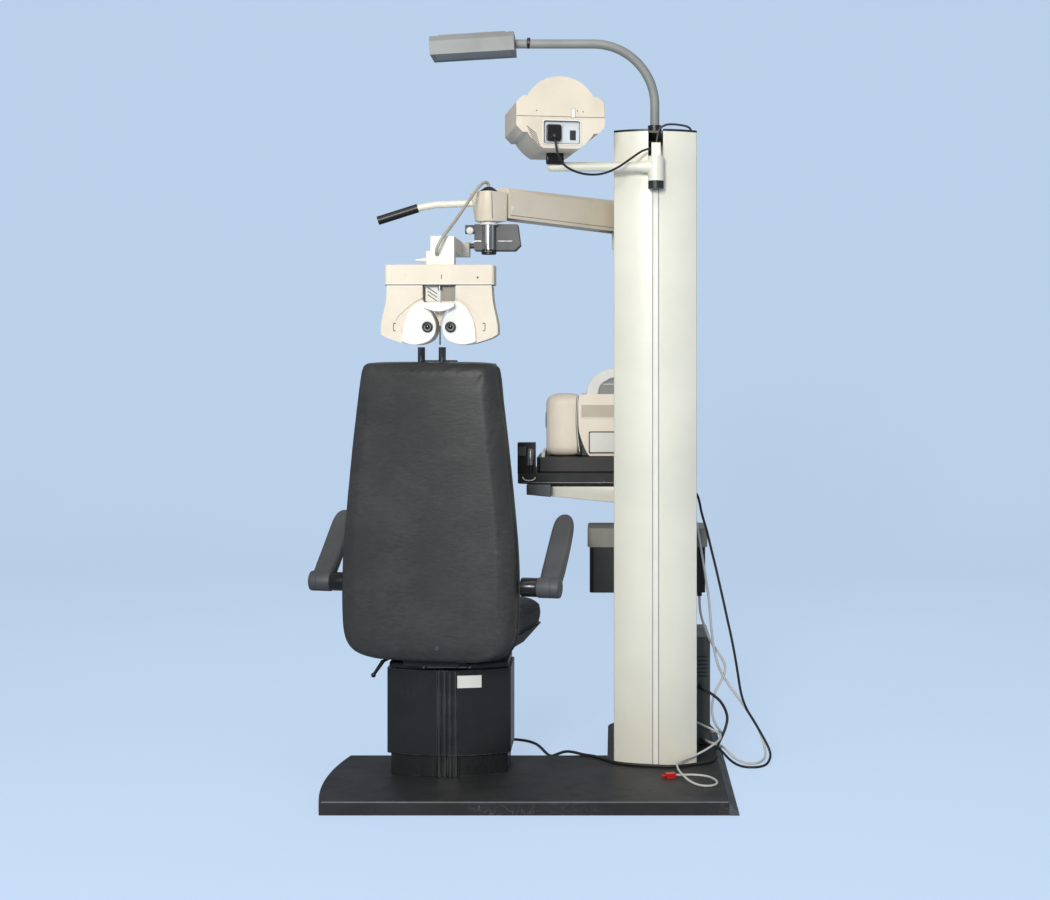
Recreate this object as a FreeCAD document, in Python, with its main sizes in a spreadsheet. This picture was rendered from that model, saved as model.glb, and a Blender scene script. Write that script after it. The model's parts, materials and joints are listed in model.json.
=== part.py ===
import FreeCAD, Part
import math
import os

import Sketcher
from FreeCAD import Placement, Rotation, Vector

DOC = FreeCAD.newDocument("examination_unit")

# Every driving size in millimetres and degrees, grouped by the piece that carries it.
SIZES = {
    # clearances shared by pieces that fit one another
    "running_gap": 0.3,
    "cut_overrun": 5,
    # base plate that the chair and the column stand on
    "base_thickness": 34,
    "base_left": 295,
    "base_left_bulge": 25,
    "base_front": 364,
    "base_chair_back": 131,
    "base_right": 724,
    "base_leg_left": 419,
    "base_back": 569,
    "base_leg_corner": 60,
    "base_edge_break": 2.5,
    "trim_width": 25,
    "trim_inner_height": 30,
    "trim_outer_height": 4,
    # telescoping pedestal covers
    "cover_half_width": 164,
    "cover_half_side": 83,
    "cover_bulge": 42,
    "cover_corner": 12,
    "cover_wall": 3,
    "cover_bottom": 91,
    "cover_top": 316,
    "skirt_inset": 9,
    "skirt_top": 256,
    "rib_width": 9,
    "rib_pitch": 14.3,
    "rib_proud": 3.5,
    # lifting column and motor inside the covers
    "lift_tube_half": 60,
    "lift_tube_wall": 6,
    "lift_tube_top": 248,
    "lift_slide_gap": 0.3,
    "ram_wall": 5,
    "ram_bottom": 84,
    "ram_top": 322,
    "motor_radius": 26,
    "motor_offset": 100,
    "motor_top": 190,
    "bearing_radius": 92,
    "bearing_height": 12,
    # chair that turns on the bearing
    "chair_turn": -12.8,
    "seat_plate_half": 75,
    "pan_bottom": 347,
    "pan_top": 396,
    "pan_bottom_half": 150,
    "pan_top_half": 190,
    "pan_back": -103,
    "pan_front": 250,
    "pan_taper": 35,
    "pan_corner": 40,
    "seat_half": 205,
    "seat_back": -104,
    "seat_front": 270,
    "seat_top": 459,
    "seat_crown": 8,
    "seat_side_draw": 12,
    "seat_front_corner": 105,
    "seat_rear_corner": 30,
    "back_rear": -225,
    "back_split": -172,
    "back_front": -116,
    "back_bottom": 356,
    "back_height": 767,
    "back_half": 239,
    "back_corner": 30,
    "back_rear_crown": 7,
    "back_front_crown": 10,
    "back_cushion_inset": 6,
    "spine_half": 90,
    "spine_depth": 12,
    "spine_top": 900,
    "spine_foot_front": 60,
    # armrests and their pivots
    "arm_pivot_height": 545,
    "arm_pivot_back": -150,
    "arm_inner": 282.3,
    "arm_width": 60,
    "arm_hub_radius": 26.5,
    "arm_boss_radius": 24,
    "arm_pin_radius": 9,
    "arm_length": 240,
    "arm_root_depth": 40,
    "arm_tip_depth": 24,
    "arm_raise": 45,
    # brake lever under the seat
    "brake_rod_radius": 4,
    "brake_side": 142,
    "brake_rod_height": 338,
    "brake_rear": -150,
    "brake_arm_length": 46,
    "brake_arm_lean": 215,
    "brake_ball_radius": 6.5,
    "brake_block_back": -66,
    "brake_block_length": 46,
    "brake_block_half": 8,
    # headrest
    "post_radius": 9.5,
    "post_spacing": 57,
    "post_depth": -165,
    "post_bottom": 1000,
    "post_top": 1164,
    "post_bore_spare": 24,
    "head_half": 118,
    "head_bottom": 1000,
    "head_top": 1120,
    "head_back": -102,
    "head_front": -52,
    "head_corner": 30,
    "head_bar_lift": 1.5,
    "head_bar_thickness": 6,
    # instrument column
    "column_x": 550,
    "column_y": 105,
    "column_half_width": 113,
    "column_half_side": 64,
    "column_bulge": 36,
    "column_corner": 6,
    "column_wall": 4,
    "column_top": 1750,
    "slot_width": 17.6,
    "slot_depth": 9,
    "slot_backing": 4,
    "strip_width": 14,
    "strip_thickness": 2.5,
    "strip_proud": 0.6,
    "cable_hole_width": 40,
    "cable_hole_height": 72,
    "foot_height": 12,
    "cap_height": 6,
    "cap_socket_radius": 19,
    "cap_socket_height": 22,
    # lamp on top of the column
    "lamp_tube_radius": 12.5,
    "lamp_tube_wall": 2,
    "lamp_bend": 170,
    "lamp_height_rise": 254,
    "lamp_reach": 383,
    "lamp_head_length": 231,
    "lamp_head_width": 120,
    "lamp_head_height": 54,
    "lamp_head_chamfer": 16,
    "lamp_head_wall": 2.5,
    "lamp_head_slope": -3.5,
    "lamp_spigot_length": 34,
    "lamp_plate_height": 4,
    "lamp_plate_inset": 24,
    "lamp_glass_inset": 10,
    "lamp_glass_thickness": 3,
    # projector and its swinging arm
    "projector_pivot_y": -20,
    "projector_pin_radius": 8,
    "clamp_radius": 21,
    "clamp_bottom": 1612,
    "clamp_top": 1678,
    "clamp_roof": 6,
    "projector_arm_height": 1650,
    "projector_arm_radius": 12.5,
    "projector_cone_length": 42,
    "projector_x": 276,
    "projector_rear": -122,
    "projector_y": -20,
    "projector_height": 1773,
    "projector_radius": 100,
    "projector_depth": 250,
    "projector_wall": 3,
    "projector_turn": 10.6,
    "projector_wing_half": 117,
    "projector_wing_rise": 48,
    "projector_split_drop": 6,
    "projector_floor_drop": 89,
    "projector_hollow_half": 78,
    "projector_hollow_rise": 52,
    "tilt_height": 1668,
    "tilt_radius": 11.5,
    "tilt_pin_radius": 5,
    "lug_left": -6,
    "lug_width": 12,
    "cheek_width": 14,
    "yoke_half_depth": 16,
    "yoke_height": 3.5,
    "panel_width": 98,
    "panel_height": 62,
    "panel_shift": 3,
    "panel_drop": 47,
    "panel_thickness": 2.5,
    "panel_recess": 10,
    "inlet_width": 42,
    "inlet_height": 42,
    "inlet_shift": -18,
    "inlet_depth": 16,
    "switch_width": 13,
    "switch_height": 23,
    "switch_depth": 9,
    "switch_shift": 33,
    "switch_drop": 6,
    "switch_axle_radius": 2,
    "switch_gap": 1.6,
    "switch_proud": 2,
    "cord_gland_width": 24,
    "cord_gland_height": 36,
    "cord_gland_rise": 23,
    "cord_gland_bore": 9,
    "cord_gland_depth": 14,
    "lens_radius": 26,
    "lens_length": 20,
    # swinging arm that carries the phoropter
    "hinge_x": 455,
    "hinge_y": 262,
    "hinge_pin_radius": 10,
    "hinge_hub_radius": 24,
    "hinge_hub_bottom_rise": -40,
    "hinge_hub_top_rise": 29,
    "hinge_cross_radius": 6,
    "arm_axis_height": 1537,
    "bracket_thickness": 14,
    "bracket_height": 100,
    "bracket_plate_width": 120,
    "bracket_bottom_rise": -112,
    "bracket_arm_drop": 36,
    "bracket_clearance": 8,
    "knuckle_x": 111,
    "knuckle_y": -150,
    "beam_half_width": 29,
    "beam_wall": 3,
    "beam_top_rise": 45,
    "beam_bottom_rise": -45,
    "beam_tip_rise": 10,
    "beam_chamfer": 10,
    "beam_head_length": 46,
    "beam_cover_start": 95,
    "beam_cover_end": 70,
    "tongue_half": 11,
    "knuckle_radius": 33,
    "knuckle_bottom_rise": -46,
    "knuckle_top_rise": 30,
    "knuckle_slot_gap": 1.2,
    "knuckle_pin_radius": 7,
    "knuckle_gland_radius": 9,
    "knuckle_gland_height": 12,
    "knuckle_lid": 3,
    "handle_radius": 9,
    "handle_sunk": 3,
    "handle_height_rise": 3,
    "handle_straight": 140,
    "handle_drop": 26,
    "grip_radius": 11.5,
    "grip_length": 104,
    "grip_drop": 33,
    # post, cross slide and hanger under the knuckle
    "stem_radius": 9,
    "post_sleeve_radius": 17,
    "post_sleeve_bottom_rise": -119,
    "post_knob_radius": 19,
    "post_knob_height": 12,
    "slide_left": 72,
    "slide_right": 192,
    "slide_front": -140,
    "slide_back": -76,
    "slide_bottom_rise": -119,
    "slide_top_rise": -51,
    "rail_height_up": 13,
    "slide_chamfer": 14,
    "carrier_bottom_rise": -135,
    "carrier_thickness": 38,
    "carrier_left": -20,
    "carrier_wall": 8,
    "rail_radius": 7,
    "slide_knob_radius": 12,
    "slide_knob_length": 26,
    "hanger_width": 70,
    "hanger_depth": 44,
    # phoropter head
    "phoropter_x": 4.5,
    "phoropter_y": -325,
    "phoropter_half_depth": 44,
    "bridge_half_width": 136,
    "bridge_bottom_rise": -220,
    "bridge_top_rise": -170,
    "unit_top_rise": -221.5,
    "unit_height": 147,
    "unit_inner": 8,
    "unit_outer": 145,
    "unit_disc_offset": 51,
    "unit_disc_radius": 50,
    "disc_height_rise": -314,
    "disc_half_width": 43.5,
    "disc_half_height": 57,
    "disc_proud": 5,
    "eyepiece_offset": 28.6,
    "eyepiece_height_rise": -325,
    "eyepiece_radius": 13.4,
    "eyepiece_bore": 8,
    "eyepiece_proud": 7,
    "rod_radius": 3,
    "forehead_half": 39,
    "forehead_height": 26,
    "forehead_top_rise": -265,
    "forehead_depth": 14,
    "forehead_gap": 8,
    # instrument table behind the column
    "table_left": 163,
    "table_right": 560,
    "table_front": 222,
    "table_back": 580,
    "table_bottom": 780,
    "table_thickness": 28,
    "table_corner": 25,
    "rail_half": 20,
    "bracket_left": 191,
    "bracket_top": 772,
    "bracket_tip_bottom": 749,
    "bracket_root_bottom": 725,
    "bracket_front": 250,
    "bracket_depth": 90,
    "console_left": 214,
    "console_right": 540,
    "console_front": 300,
    "console_back": 540,
    "console_base_height": 44,
    "console_top": 1033,
    "console_corner": 26,
    "chin_left": 357,
    "chin_front": 330,
    "chin_width": 60,
    "chin_thickness": 20,
    "chin_height": 1111,
    "joystick_y": 262,
    "joystick_block": 50,
    "joystick_block_height": 88,
    "joystick_radius": 7,
    "joystick_height": 60,
    # power boxes behind the column
    "control_left": 362,
    "control_right": 702,
    "control_front": 216,
    "control_back": 386,
    "control_bottom": 473,
    "control_split": 602,
    "control_top": 655,
    "control_corner": 14,
    "control_lip": 6,
    "transformer_left": 500,
    "transformer_right": 712,
    "transformer_front": 256,
    "transformer_back": 486,
    "transformer_top": 342,
    "transformer_corner": 10,
    # cords, their glands and plugs
    "cable_diameter": 7,
    "mains_diameter": 8,
    "projector_cord_diameter": 6,
    "phoropter_cable_diameter": 8,
    "top_cable_diameter": 6,
    "red_lead_diameter": 6,
    "gland_radius": 7,
    "gland_length": 12,
    "gland_a_y": 228,
    "gland_a_height": 750,
    "gland_b_y": 240,
    "gland_b_height": 733,
    "gland_c_x": 680,
    "gland_c_y": 240,
    "mains_gland_x": 680,
    "mains_gland_height": 201,
    "red_gland_x": 660,
    "red_gland_height": 110,
    "red_plug_length": 26,
    "red_plug_width": 18,
    "red_plug_height": 12,
    "red_plug_x": 598,
    "red_plug_y": -116,
    "red_plug_turn": 17.4,
    "red_pin_length": 12,
    "red_pin_radius": 2,
    "mains_plug_length": 38,
    "mains_plug_side": 29,
    "mains_plug_x": 20,
    "mains_plug_y": 458,
    "mains_pin_length": 19,
    "mains_pin_radius": 2.4,
}


class Size:
    """A value together with the sheet expression that it is worked out by."""

    def __init__(self, text, value):
        self.text = text
        self.value = float(value)

    def __float__(self):
        return self.value

    def joined(self, sign, other, value):
        return Size(f"({self.text} {sign} {sized(other).text})", value)

    def __add__(self, other):
        return self.joined("+", other, self.value + float(other))

    def __sub__(self, other):
        return self.joined("-", other, self.value - float(other))

    def __mul__(self, other):
        return self.joined("*", other, self.value * float(other))

    def __truediv__(self, other):
        return self.joined("/", other, self.value / float(other))

    def __neg__(self):
        return Size(f"(-1 * {self.text})", -self.value)

    def __rsub__(self, other):
        return sized(other) - self

    __radd__ = __add__
    __rmul__ = __mul__


def sized(value):
    return value if isinstance(value, Size) else Size(f"({float(value)!r})", value)


def root_of(size):
    return Size(f"sqrt({size.text})", math.sqrt(size.value))


def cosine(size):
    return Size(f"cos({size.text})", math.cos(math.radians(size.value)))


def sine(size):
    return Size(f"sin({size.text})", math.sin(math.radians(size.value)))


def turn_of(dx, dy):
    return Size(f"(atan2({dy.text}; {dx.text}) / 1 deg)", math.degrees(math.atan2(float(dy), float(dx))))


class Sheet:
    """The spreadsheet, and each of its sizes as an attribute."""

    def __init__(self, sizes):
        table = DOC.addObject("Spreadsheet::Sheet", "sizes")
        for row, (alias, value) in enumerate(sizes.items(), start=1):
            table.set(f"A{row}", alias)
            table.set(f"B{row}", str(value))
            table.setAlias(f"B{row}", alias)
        DOC.recompute()
        for alias in sizes:
            setattr(self, alias, Size(f"sizes.{alias}", getattr(table, alias)))


S = Sheet(SIZES)
# heights that are given from the column's top or from the swinging arm's axis
S.lamp_height = S.column_top + S.lamp_height_rise
for height in (
    "hinge_hub_bottom", "hinge_hub_top", "bracket_bottom", "beam_top", "beam_bottom",
    "knuckle_bottom", "knuckle_top", "handle_height", "post_sleeve_bottom", "slide_bottom",
    "slide_top", "carrier_bottom", "bridge_bottom", "bridge_top", "unit_top", "disc_height",
    "eyepiece_height", "forehead_top",
):
    setattr(S, height, S.arm_axis_height + getattr(S, f"{height}_rise"))
ZERO = Size("0", 0)
BACKWARDS = sized(-90)
CHAIR = (ZERO, ZERO, ZERO, S.chair_turn)
NODES = {}


def bind(thing, path, size):
    thing.setExpression(path, size.text)


def place(thing, where, axis=Vector(0, 0, 1)):
    """Puts a piece at (x, y, z, turn), the turn being about the axis, all bound to the sheet."""
    x, y, z, turn = where
    thing.Placement = Placement(Vector(float(x), float(y), float(z)), Rotation(axis, 1))
    bind(thing, "Placement.Base.x", sized(x))
    bind(thing, "Placement.Base.y", sized(y))
    bind(thing, "Placement.Base.z", sized(z))
    bind(thing, "Placement.Rotation.Angle", sized(turn))
    return thing


def node(name, thing):
    thing.Label = name
    NODES[name] = thing
    return thing


def block(name, x0, x1, y0, y1, z0, z1):
    box = DOC.addObject("Part::Box", name)
    for prop, low, high in (("Length", x0, x1), ("Width", y0, y1), ("Height", z0, z1)):
        bind(box, prop, sized(high) - low)
    for letter, low in zip("xyz", (x0, y0, z0)):
        bind(box, f"Placement.Base.{letter}", sized(low))
    return box


TURNS = {"z": Rotation(), "x": Rotation(Vector(0, 1, 0), 90), "y": Rotation(Vector(1, 0, 0), -90)}


def cylinder(name, radius, length, x, y, z, axis="z"):
    rod = DOC.addObject("Part::Cylinder", name)
    rod.Placement = Placement(Vector(), TURNS[axis])
    bind(rod, "Radius", sized(radius))
    bind(rod, "Height", sized(length))
    for letter, at in zip("xyz", (x, y, z)):
        bind(rod, f"Placement.Base.{letter}", sized(at))
    return rod


def ball(name, radius, x, y, z):
    sphere = DOC.addObject("Part::Sphere", name)
    bind(sphere, "Radius", sized(radius))
    for letter, at in zip("xyz", (x, y, z)):
        bind(sphere, f"Placement.Base.{letter}", sized(at))
    return sphere


def fused(name, *things):
    whole = DOC.addObject("Part::MultiFuse", name)
    whole.Shapes = list(things)
    return whole


def cut(name, base, *tools):
    """The base without the tools."""
    rest = DOC.addObject("Part::Cut", name)
    rest.Base = base
    rest.Tool = tools[0] if len(tools) == 1 else fused(f"{name}_tools", *tools)
    return rest


def grouped(name, *things):
    """Separate solids that lie apart in one node."""
    group = DOC.addObject("Part::Compound", name)
    group.Links = list(things)
    return group


def plain(value):
    return value.value if isinstance(value, Size) else float(value)


def arc_radius(dx, dy, bulge):
    half_squared = (dx * dx + dy * dy) / 4
    return (half_squared + bulge * bulge) / (bulge * 2)


def draw(sketch, corners, closed=True):
    """Draws an outline. A corner is (x, y), or (x, y, bulge) where an arc runs to the next corner.

    A positive bulge swells to the right of the way round, a negative one to the left.
    """
    count = len(corners)
    first = sketch.GeometryCount
    starts, ends = [], []
    runs = corners if closed else corners[:-1]
    for i, corner in enumerate(runs):
        x0, y0 = plain(corner[0]), plain(corner[1])
        x1, y1 = (plain(value) for value in corners[(i + 1) % count][:2])
        a, b = Vector(x0, y0, 0), Vector(x1, y1, 0)
        if len(corner) == 2:
            sketch.addGeometry(Part.LineSegment(a, b), False)
            starts.append(1)
            ends.append(2)
            continue
        bulge = plain(corner[2])
        along = (b - a).normalize()
        right = Vector(along.y, -along.x, 0)
        radius = ((b - a).Length ** 2 / 4 + bulge**2) / (2 * abs(bulge))
        side = 1 if bulge > 0 else -1
        centre = (a + b) / 2 + right * (bulge - side * radius)
        low, high = (a, b) if side > 0 else (b, a)
        angles = [math.atan2(p.y - centre.y, p.x - centre.x) for p in (low, high)]
        if angles[1] < angles[0]:
            angles[1] += 2 * math.pi
        circle = Part.Circle(centre, Vector(0, 0, 1), radius)
        sketch.addGeometry(Part.ArcOfCircle(circle, *angles), False)
        starts.append(1 if side > 0 else 2)
        ends.append(2 if side > 0 else 1)
    for i, corner in enumerate(runs):
        here, after = first + i, first + (i + 1) % count
        if closed or i + 1 < len(runs):
            sketch.addConstraint(
                Sketcher.Constraint("Coincident", here, ends[i], after, starts[(i + 1) % count]))
        for kind, value in zip(("DistanceX", "DistanceY"), corner[:2]):
            datum = Sketcher.Constraint(kind, -1, 1, here, starts[i], plain(value))
            index = sketch.addConstraint(datum)
            bind(sketch, f"Constraints[{index}]", sized(value))
        if len(corner) == 3:
            after_corner = corners[(i + 1) % count]
            dx, dy = sized(after_corner[0]) - corner[0], sized(after_corner[1]) - corner[1]
            radius = arc_radius(dx, dy, sized(corner[2]))
            radius = radius if radius.value > 0 else -radius
            index = sketch.addConstraint(Sketcher.Constraint("Radius", here, radius.value))
            bind(sketch, f"Constraints[{index}]", radius)
    if not closed:
        for kind, value in zip(("DistanceX", "DistanceY"), corners[-1][:2]):
            datum = Sketcher.Constraint(kind, -1, 1, first + count - 2, ends[-1], plain(value))
            index = sketch.addConstraint(datum)
            bind(sketch, f"Constraints[{index}]", sized(value))
    return sketch


PLANES = {"top": "XY_Plane", "front": "XZ_Plane", "side": "YZ_Plane"}


def outline(body, name, plane, offset, corners):
    """A sketch on one of the body's own planes, offset along that plane's normal."""
    sketch = body.newObject("Sketcher::SketchObject", f"{name}_outline")
    role = PLANES[plane]
    sketch.AttachmentSupport = [next(p for p in body.Origin.OriginFeatures if p.Role == role)]
    sketch.MapMode = "FlatFace"
    bind(sketch, "AttachmentOffset.Base.z", sized(offset))
    return draw(sketch, corners)


def padded(body, name, plane, low, high, corners):
    """A pad of the outline between two offsets, measured along +Z, +Y or +X."""
    offset = -sized(high) if plane == "front" else sized(low)
    sketch = outline(body, name, plane, offset, corners)
    pad = body.newObject("PartDesign::Pad", f"{name}_pad")
    pad.Profile = sketch
    bind(pad, "Length", sized(high) - low)
    sketch.Visibility = False
    return pad


def pocketed(body, name, plane, low, high, corners):
    """A pocket of the outline between two offsets, measured along +Z, +Y or +X."""
    offset = -sized(low) if plane == "front" else sized(high)
    sketch = outline(body, name, plane, offset, corners)
    pocket = body.newObject("PartDesign::Pocket", f"{name}_pocket")
    pocket.Profile = sketch
    bind(pocket, "Length", sized(high) - low)
    return pocket


def eased(body, feature, name, size, chosen, kind="Fillet"):
    """Rounds or bevels the edges of a feature that a test picks."""
    DOC.recompute()
    names = [f"Edge{i}" for i, edge in enumerate(feature.Shape.Edges, start=1) if chosen(edge)]
    ease = body.newObject(f"PartDesign::{kind}", f"{name}_{kind.lower()}")
    ease.Base = (feature, names)
    bind(ease, "Radius" if kind == "Fillet" else "Size", sized(size))
    body.Tip = ease
    return ease


def new_body(name):
    return DOC.addObject("PartDesign::Body", name)


def upright(edge):
    box = edge.BoundBox
    return box.ZLength > 10 * max(box.XLength, box.YLength)


def at_height(height):
    """Picks the edges that lie level at one height."""
    return lambda edge: abs(edge.BoundBox.ZMax - plain(height)) + edge.BoundBox.ZLength < 0.01


def rectangle(x0, x1, y0, y1):
    return [(x0, y0), (x1, y0), (x1, y1), (x0, y1)]


# A fillet's arc over a square corner swells by this share of its radius over its chord.
CORNER_SHARE = 1 - math.sqrt(0.5)


def rounded_rectangle(x0, x1, y0, y1, radius):
    x0, x1, y0, y1, swell = sized(x0), sized(x1), sized(y0), sized(y1), sized(radius) * CORNER_SHARE
    return [
        (x0 + radius, y0),
        (x1 - radius, y0, swell),
        (x1, y0 + radius),
        (x1, y1 - radius, swell),
        (x1 - radius, y1),
        (x0 + radius, y1, swell),
        (x0, y1 - radius),
        (x0, y0 + radius, swell),
    ]


def rounded_block(name, x0, x1, y0, y1, z0, z1, radius):
    body = new_body(name)
    padded(body, name, "top", z0, z1, rounded_rectangle(x0, x1, y0, y1, radius))
    return body


def bowed(half_width, half_side, bulge, x=ZERO, y=ZERO):
    """A rectangle whose front and back swell outwards."""
    return [
        (x - half_width, y - half_side, bulge),
        (x + half_width, y - half_side),
        (x + half_width, y + half_side, bulge),
        (x - half_width, y + half_side),
    ]


def base_plate():
    body = new_body("base_plate")
    corner = S.base_leg_corner
    plate = padded(body, "base_plate", "top", ZERO, S.base_thickness, [
        (-S.base_left, -S.base_front),
        (S.base_right, -S.base_front),
        (S.base_right, S.base_back),
        (S.base_leg_left + corner, S.base_back, corner * CORNER_SHARE),
        (S.base_leg_left, S.base_back - corner),
        (S.base_leg_left, S.base_chair_back),
        (-S.base_left, S.base_chair_back, S.base_left_bulge),
    ])
    eased(body, plate, "base_plate", S.base_edge_break, at_height(S.base_thickness), "Chamfer")
    return node("base_plate", body)


def base_edge_trim():
    """The ramp along the right edge, over which a wheelchair or a stool rolls."""
    body = new_body("base_edge_trim")
    padded(body, "base_edge_trim", "front", -S.base_front, S.base_back, [
        (S.base_right, ZERO),
        (S.base_right + S.trim_width, ZERO),
        (S.base_right + S.trim_width, S.trim_outer_height),
        (S.base_right, S.trim_inner_height),
    ])
    return node("base_edge_trim", body)


def cover(name, inset, bottom, top, hole):
    """One of the two telescoping covers, open below, with a square hole in its top."""
    body = new_body(name)
    half, side = S.cover_half_width - inset, S.cover_half_side - inset
    shell = padded(body, name, "top", bottom, top, bowed(half, side, S.cover_bulge))
    shell = eased(body, shell, name, S.cover_corner, upright)
    hollow_top = top - S.cover_wall
    hollow = bowed(half - S.cover_wall, side - S.cover_wall, S.cover_bulge)
    pocketed(body, f"{name}_hollow", "top", bottom - S.cut_overrun, hollow_top, hollow)
    pocketed(body, f"{name}_hole", "top", hollow_top - S.cut_overrun, top + S.cut_overrun,
             rectangle(-hole, hole, -hole, hole))
    return body


def front_ribs(name, inset, bottom, top):
    """Four upright ribs, sunk into the bowed front of a cover."""
    front = -(S.cover_half_side - inset + S.cover_bulge)
    made = []
    for i, share in enumerate(RIB_PLACE_SHARES):
        x = S.rib_pitch * share
        made.append(block(f"{name}_{i}", x - S.rib_width / 2, x + S.rib_width / 2,
                          front - S.rib_proud, front + S.rib_proud / 2, bottom, top))
    return made


RIB_PLACE_SHARES = (-1.5, -0.5, 0.5, 1.5)


def pedestal_covers():
    ram_half = S.lift_tube_half - S.lift_tube_wall - S.lift_slide_gap
    skirt = cover("skirt_shell", S.skirt_inset, S.base_thickness, S.skirt_top, S.lift_tube_half)
    lower_ribs = front_ribs("skirt_rib", S.skirt_inset, S.base_thickness, S.skirt_top)
    node("pedestal_lower_cover", fused("lower_cover", skirt, *lower_ribs))
    node("pedestal_upper_cover", cover("upper_shell", ZERO, S.cover_bottom, S.cover_top, ram_half))
    core = new_body("trim_core")
    padded(core, "trim_core", "top", S.cover_bottom - S.cut_overrun, S.cover_top + S.cut_overrun,
           bowed(S.cover_half_width, S.cover_half_side, S.cover_bulge))
    strip = fused("strip_ribs", *front_ribs("strip_rib", ZERO, S.cover_bottom, S.cover_top))
    node("pedestal_trim_strip", cut("trim_strip", strip, core))


def square_tube(name, half, wall, bottom, top):
    outer = block(f"{name}_outer", -half, half, -half, half, bottom, top)
    inner = half - wall
    hollow = block(f"{name}_hollow", -inner, inner, -inner, inner,
                   bottom - S.cut_overrun, top + S.cut_overrun)
    return cut(name, outer, hollow)


def lift_column():
    """The fixed tube and motor on the base, and the ram that rises out of the tube."""
    half = S.lift_tube_half
    tube = square_tube("base_tube", half, S.lift_tube_wall, S.base_thickness, S.lift_tube_top)
    motor_height = S.motor_top - S.base_thickness
    motor = cylinder("motor", S.motor_radius, motor_height, S.motor_offset, ZERO, S.base_thickness)
    node("lift_drive", grouped("drive", tube, motor))
    ram_half = half - S.lift_tube_wall - S.lift_slide_gap
    ram = square_tube("ram", ram_half, S.ram_wall, S.ram_bottom, S.ram_top)
    bearing = cylinder("bearing", S.bearing_radius, S.bearing_height, ZERO, ZERO, S.ram_top)
    node("lift_ram", fused("ram_and_bearing", ram, bearing))


def section(name, height, corners):
    """A level cross-section of a lofted piece."""
    sketch = DOC.addObject("Sketcher::SketchObject", name)
    bind(sketch, "Placement.Base.z", sized(height))
    return draw(sketch, corners)


def lofted(name, levels, ruled=False):
    loft = DOC.addObject("Part::Loft", name)
    loft.Sections = [section(f"{name}_{i}", z, corners) for i, (z, corners) in enumerate(levels)]
    loft.Solid = True
    loft.Ruled = ruled
    return loft


def swept(name, profile, spine):
    """A closed section carried along a path sketch."""
    sweep = DOC.addObject("Part::Sweep", name)
    sweep.Sections = [profile]
    edges = [f"Edge{i + 1}" for i in range(spine.GeometryCount)]
    sweep.Spine = (spine, edges)
    sweep.Solid = True
    sweep.Frenet = False
    return sweep


def seat():
    """The steel plate frame, the moulded pan and the upholstered seat on it."""
    gap, half = S.running_gap, S.seat_plate_half
    plate_bottom = S.ram_top + S.bearing_height + gap
    spine_back, spine_front = S.back_split, S.back_split + S.spine_depth
    plate = block("seat_plate", -half, half, spine_back, half, plate_bottom, S.pan_bottom)
    upright_steel = block("spine", -S.spine_half, S.spine_half, spine_back, spine_front,
                          S.back_bottom, S.spine_top)
    foot = block("spine_foot", -S.spine_foot_front, S.spine_foot_front, spine_back, spine_front,
                 plate_bottom, S.back_bottom)
    bar_half = S.arm_inner - S.arm_boss_radius
    bar = block("cross_bar", -bar_half, bar_half, spine_back, spine_front,
                S.arm_pivot_height - S.arm_boss_radius / 2, S.arm_pivot_height + S.arm_boss_radius / 2)
    pieces = [plate, upright_steel, foot, bar]
    boss_start = S.back_half + gap
    boss_length = S.arm_inner - gap - boss_start
    pin_length = S.arm_width - S.arm_root_depth / 4
    for side, name in ((-1, "left"), (1, "right")):
        begin = boss_start if side > 0 else -(boss_start + boss_length)
        pin_begin = boss_start if side > 0 else -(S.arm_inner + pin_length)
        pin_reach = S.arm_inner + pin_length - boss_start
        pieces.append(cylinder(f"arm_boss_{name}", S.arm_boss_radius, boss_length, begin,
                               S.arm_pivot_back, S.arm_pivot_height, "x"))
        pieces.append(cylinder(f"arm_pin_{name}", S.arm_pin_radius, pin_reach, pin_begin,
                               S.arm_pivot_back, S.arm_pivot_height, "x"))
    node("chair_frame", place(fused("frame", *pieces), CHAIR))

    def pan_level(half_width, draw_in):
        return rounded_rectangle(-half_width, half_width, S.pan_back + draw_in,
                                 S.pan_front - draw_in, S.pan_corner)

    pan_shell = lofted("pan_shell", [
        (S.pan_bottom, pan_level(S.pan_bottom_half, S.pan_taper)),
        (S.pan_top, pan_level(S.pan_top_half, ZERO)),
    ], ruled=True)
    side, low = S.brake_side, S.brake_rod_height - S.brake_block_half
    holder = block("brake_block", -(side + S.brake_block_half), -(side - S.brake_block_half),
                   S.brake_block_back, S.brake_block_back + S.brake_block_length, low, S.pan_bottom)
    bore = cylinder("brake_bore", S.brake_rod_radius + gap, S.brake_block_length + S.cut_overrun * 2,
                    -side, S.brake_block_back - S.cut_overrun, S.brake_rod_height, "y")
    node("seat_pan", place(cut("pan", fused("pan_and_block", pan_shell, holder), bore), CHAIR))

    def seat_level(half_width, draw_in):
        rear, front = S.seat_rear_corner, S.seat_front_corner
        x, back, ahead = half_width, S.seat_back + draw_in / 2, S.seat_front - draw_in
        return [
            (-x + rear, back),
            (x - rear, back, rear * CORNER_SHARE),
            (x, back + rear),
            (x, ahead - front, front * CORNER_SHARE),
            (x - front, ahead),
            (-x + front, ahead, front * CORNER_SHARE),
            (-x, ahead - front),
            (-x, back + rear, rear * CORNER_SHARE),
        ]

    height = S.seat_top - S.pan_top - gap
    levels = []
    for height_share, draw_share in SEAT_LEVEL_SHARES:
        draw_in = S.seat_side_draw * draw_share
        levels.append((S.pan_top + gap + height * height_share, seat_level(S.seat_half - draw_in, draw_in)))
    crown_draw = S.seat_side_draw * SEAT_CROWN_SHARE
    levels.append((S.seat_top + S.seat_crown, seat_level(S.seat_half - crown_draw, crown_draw)))
    node("seat_cushion", place(lofted("seat_pad", levels), CHAIR))


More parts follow.
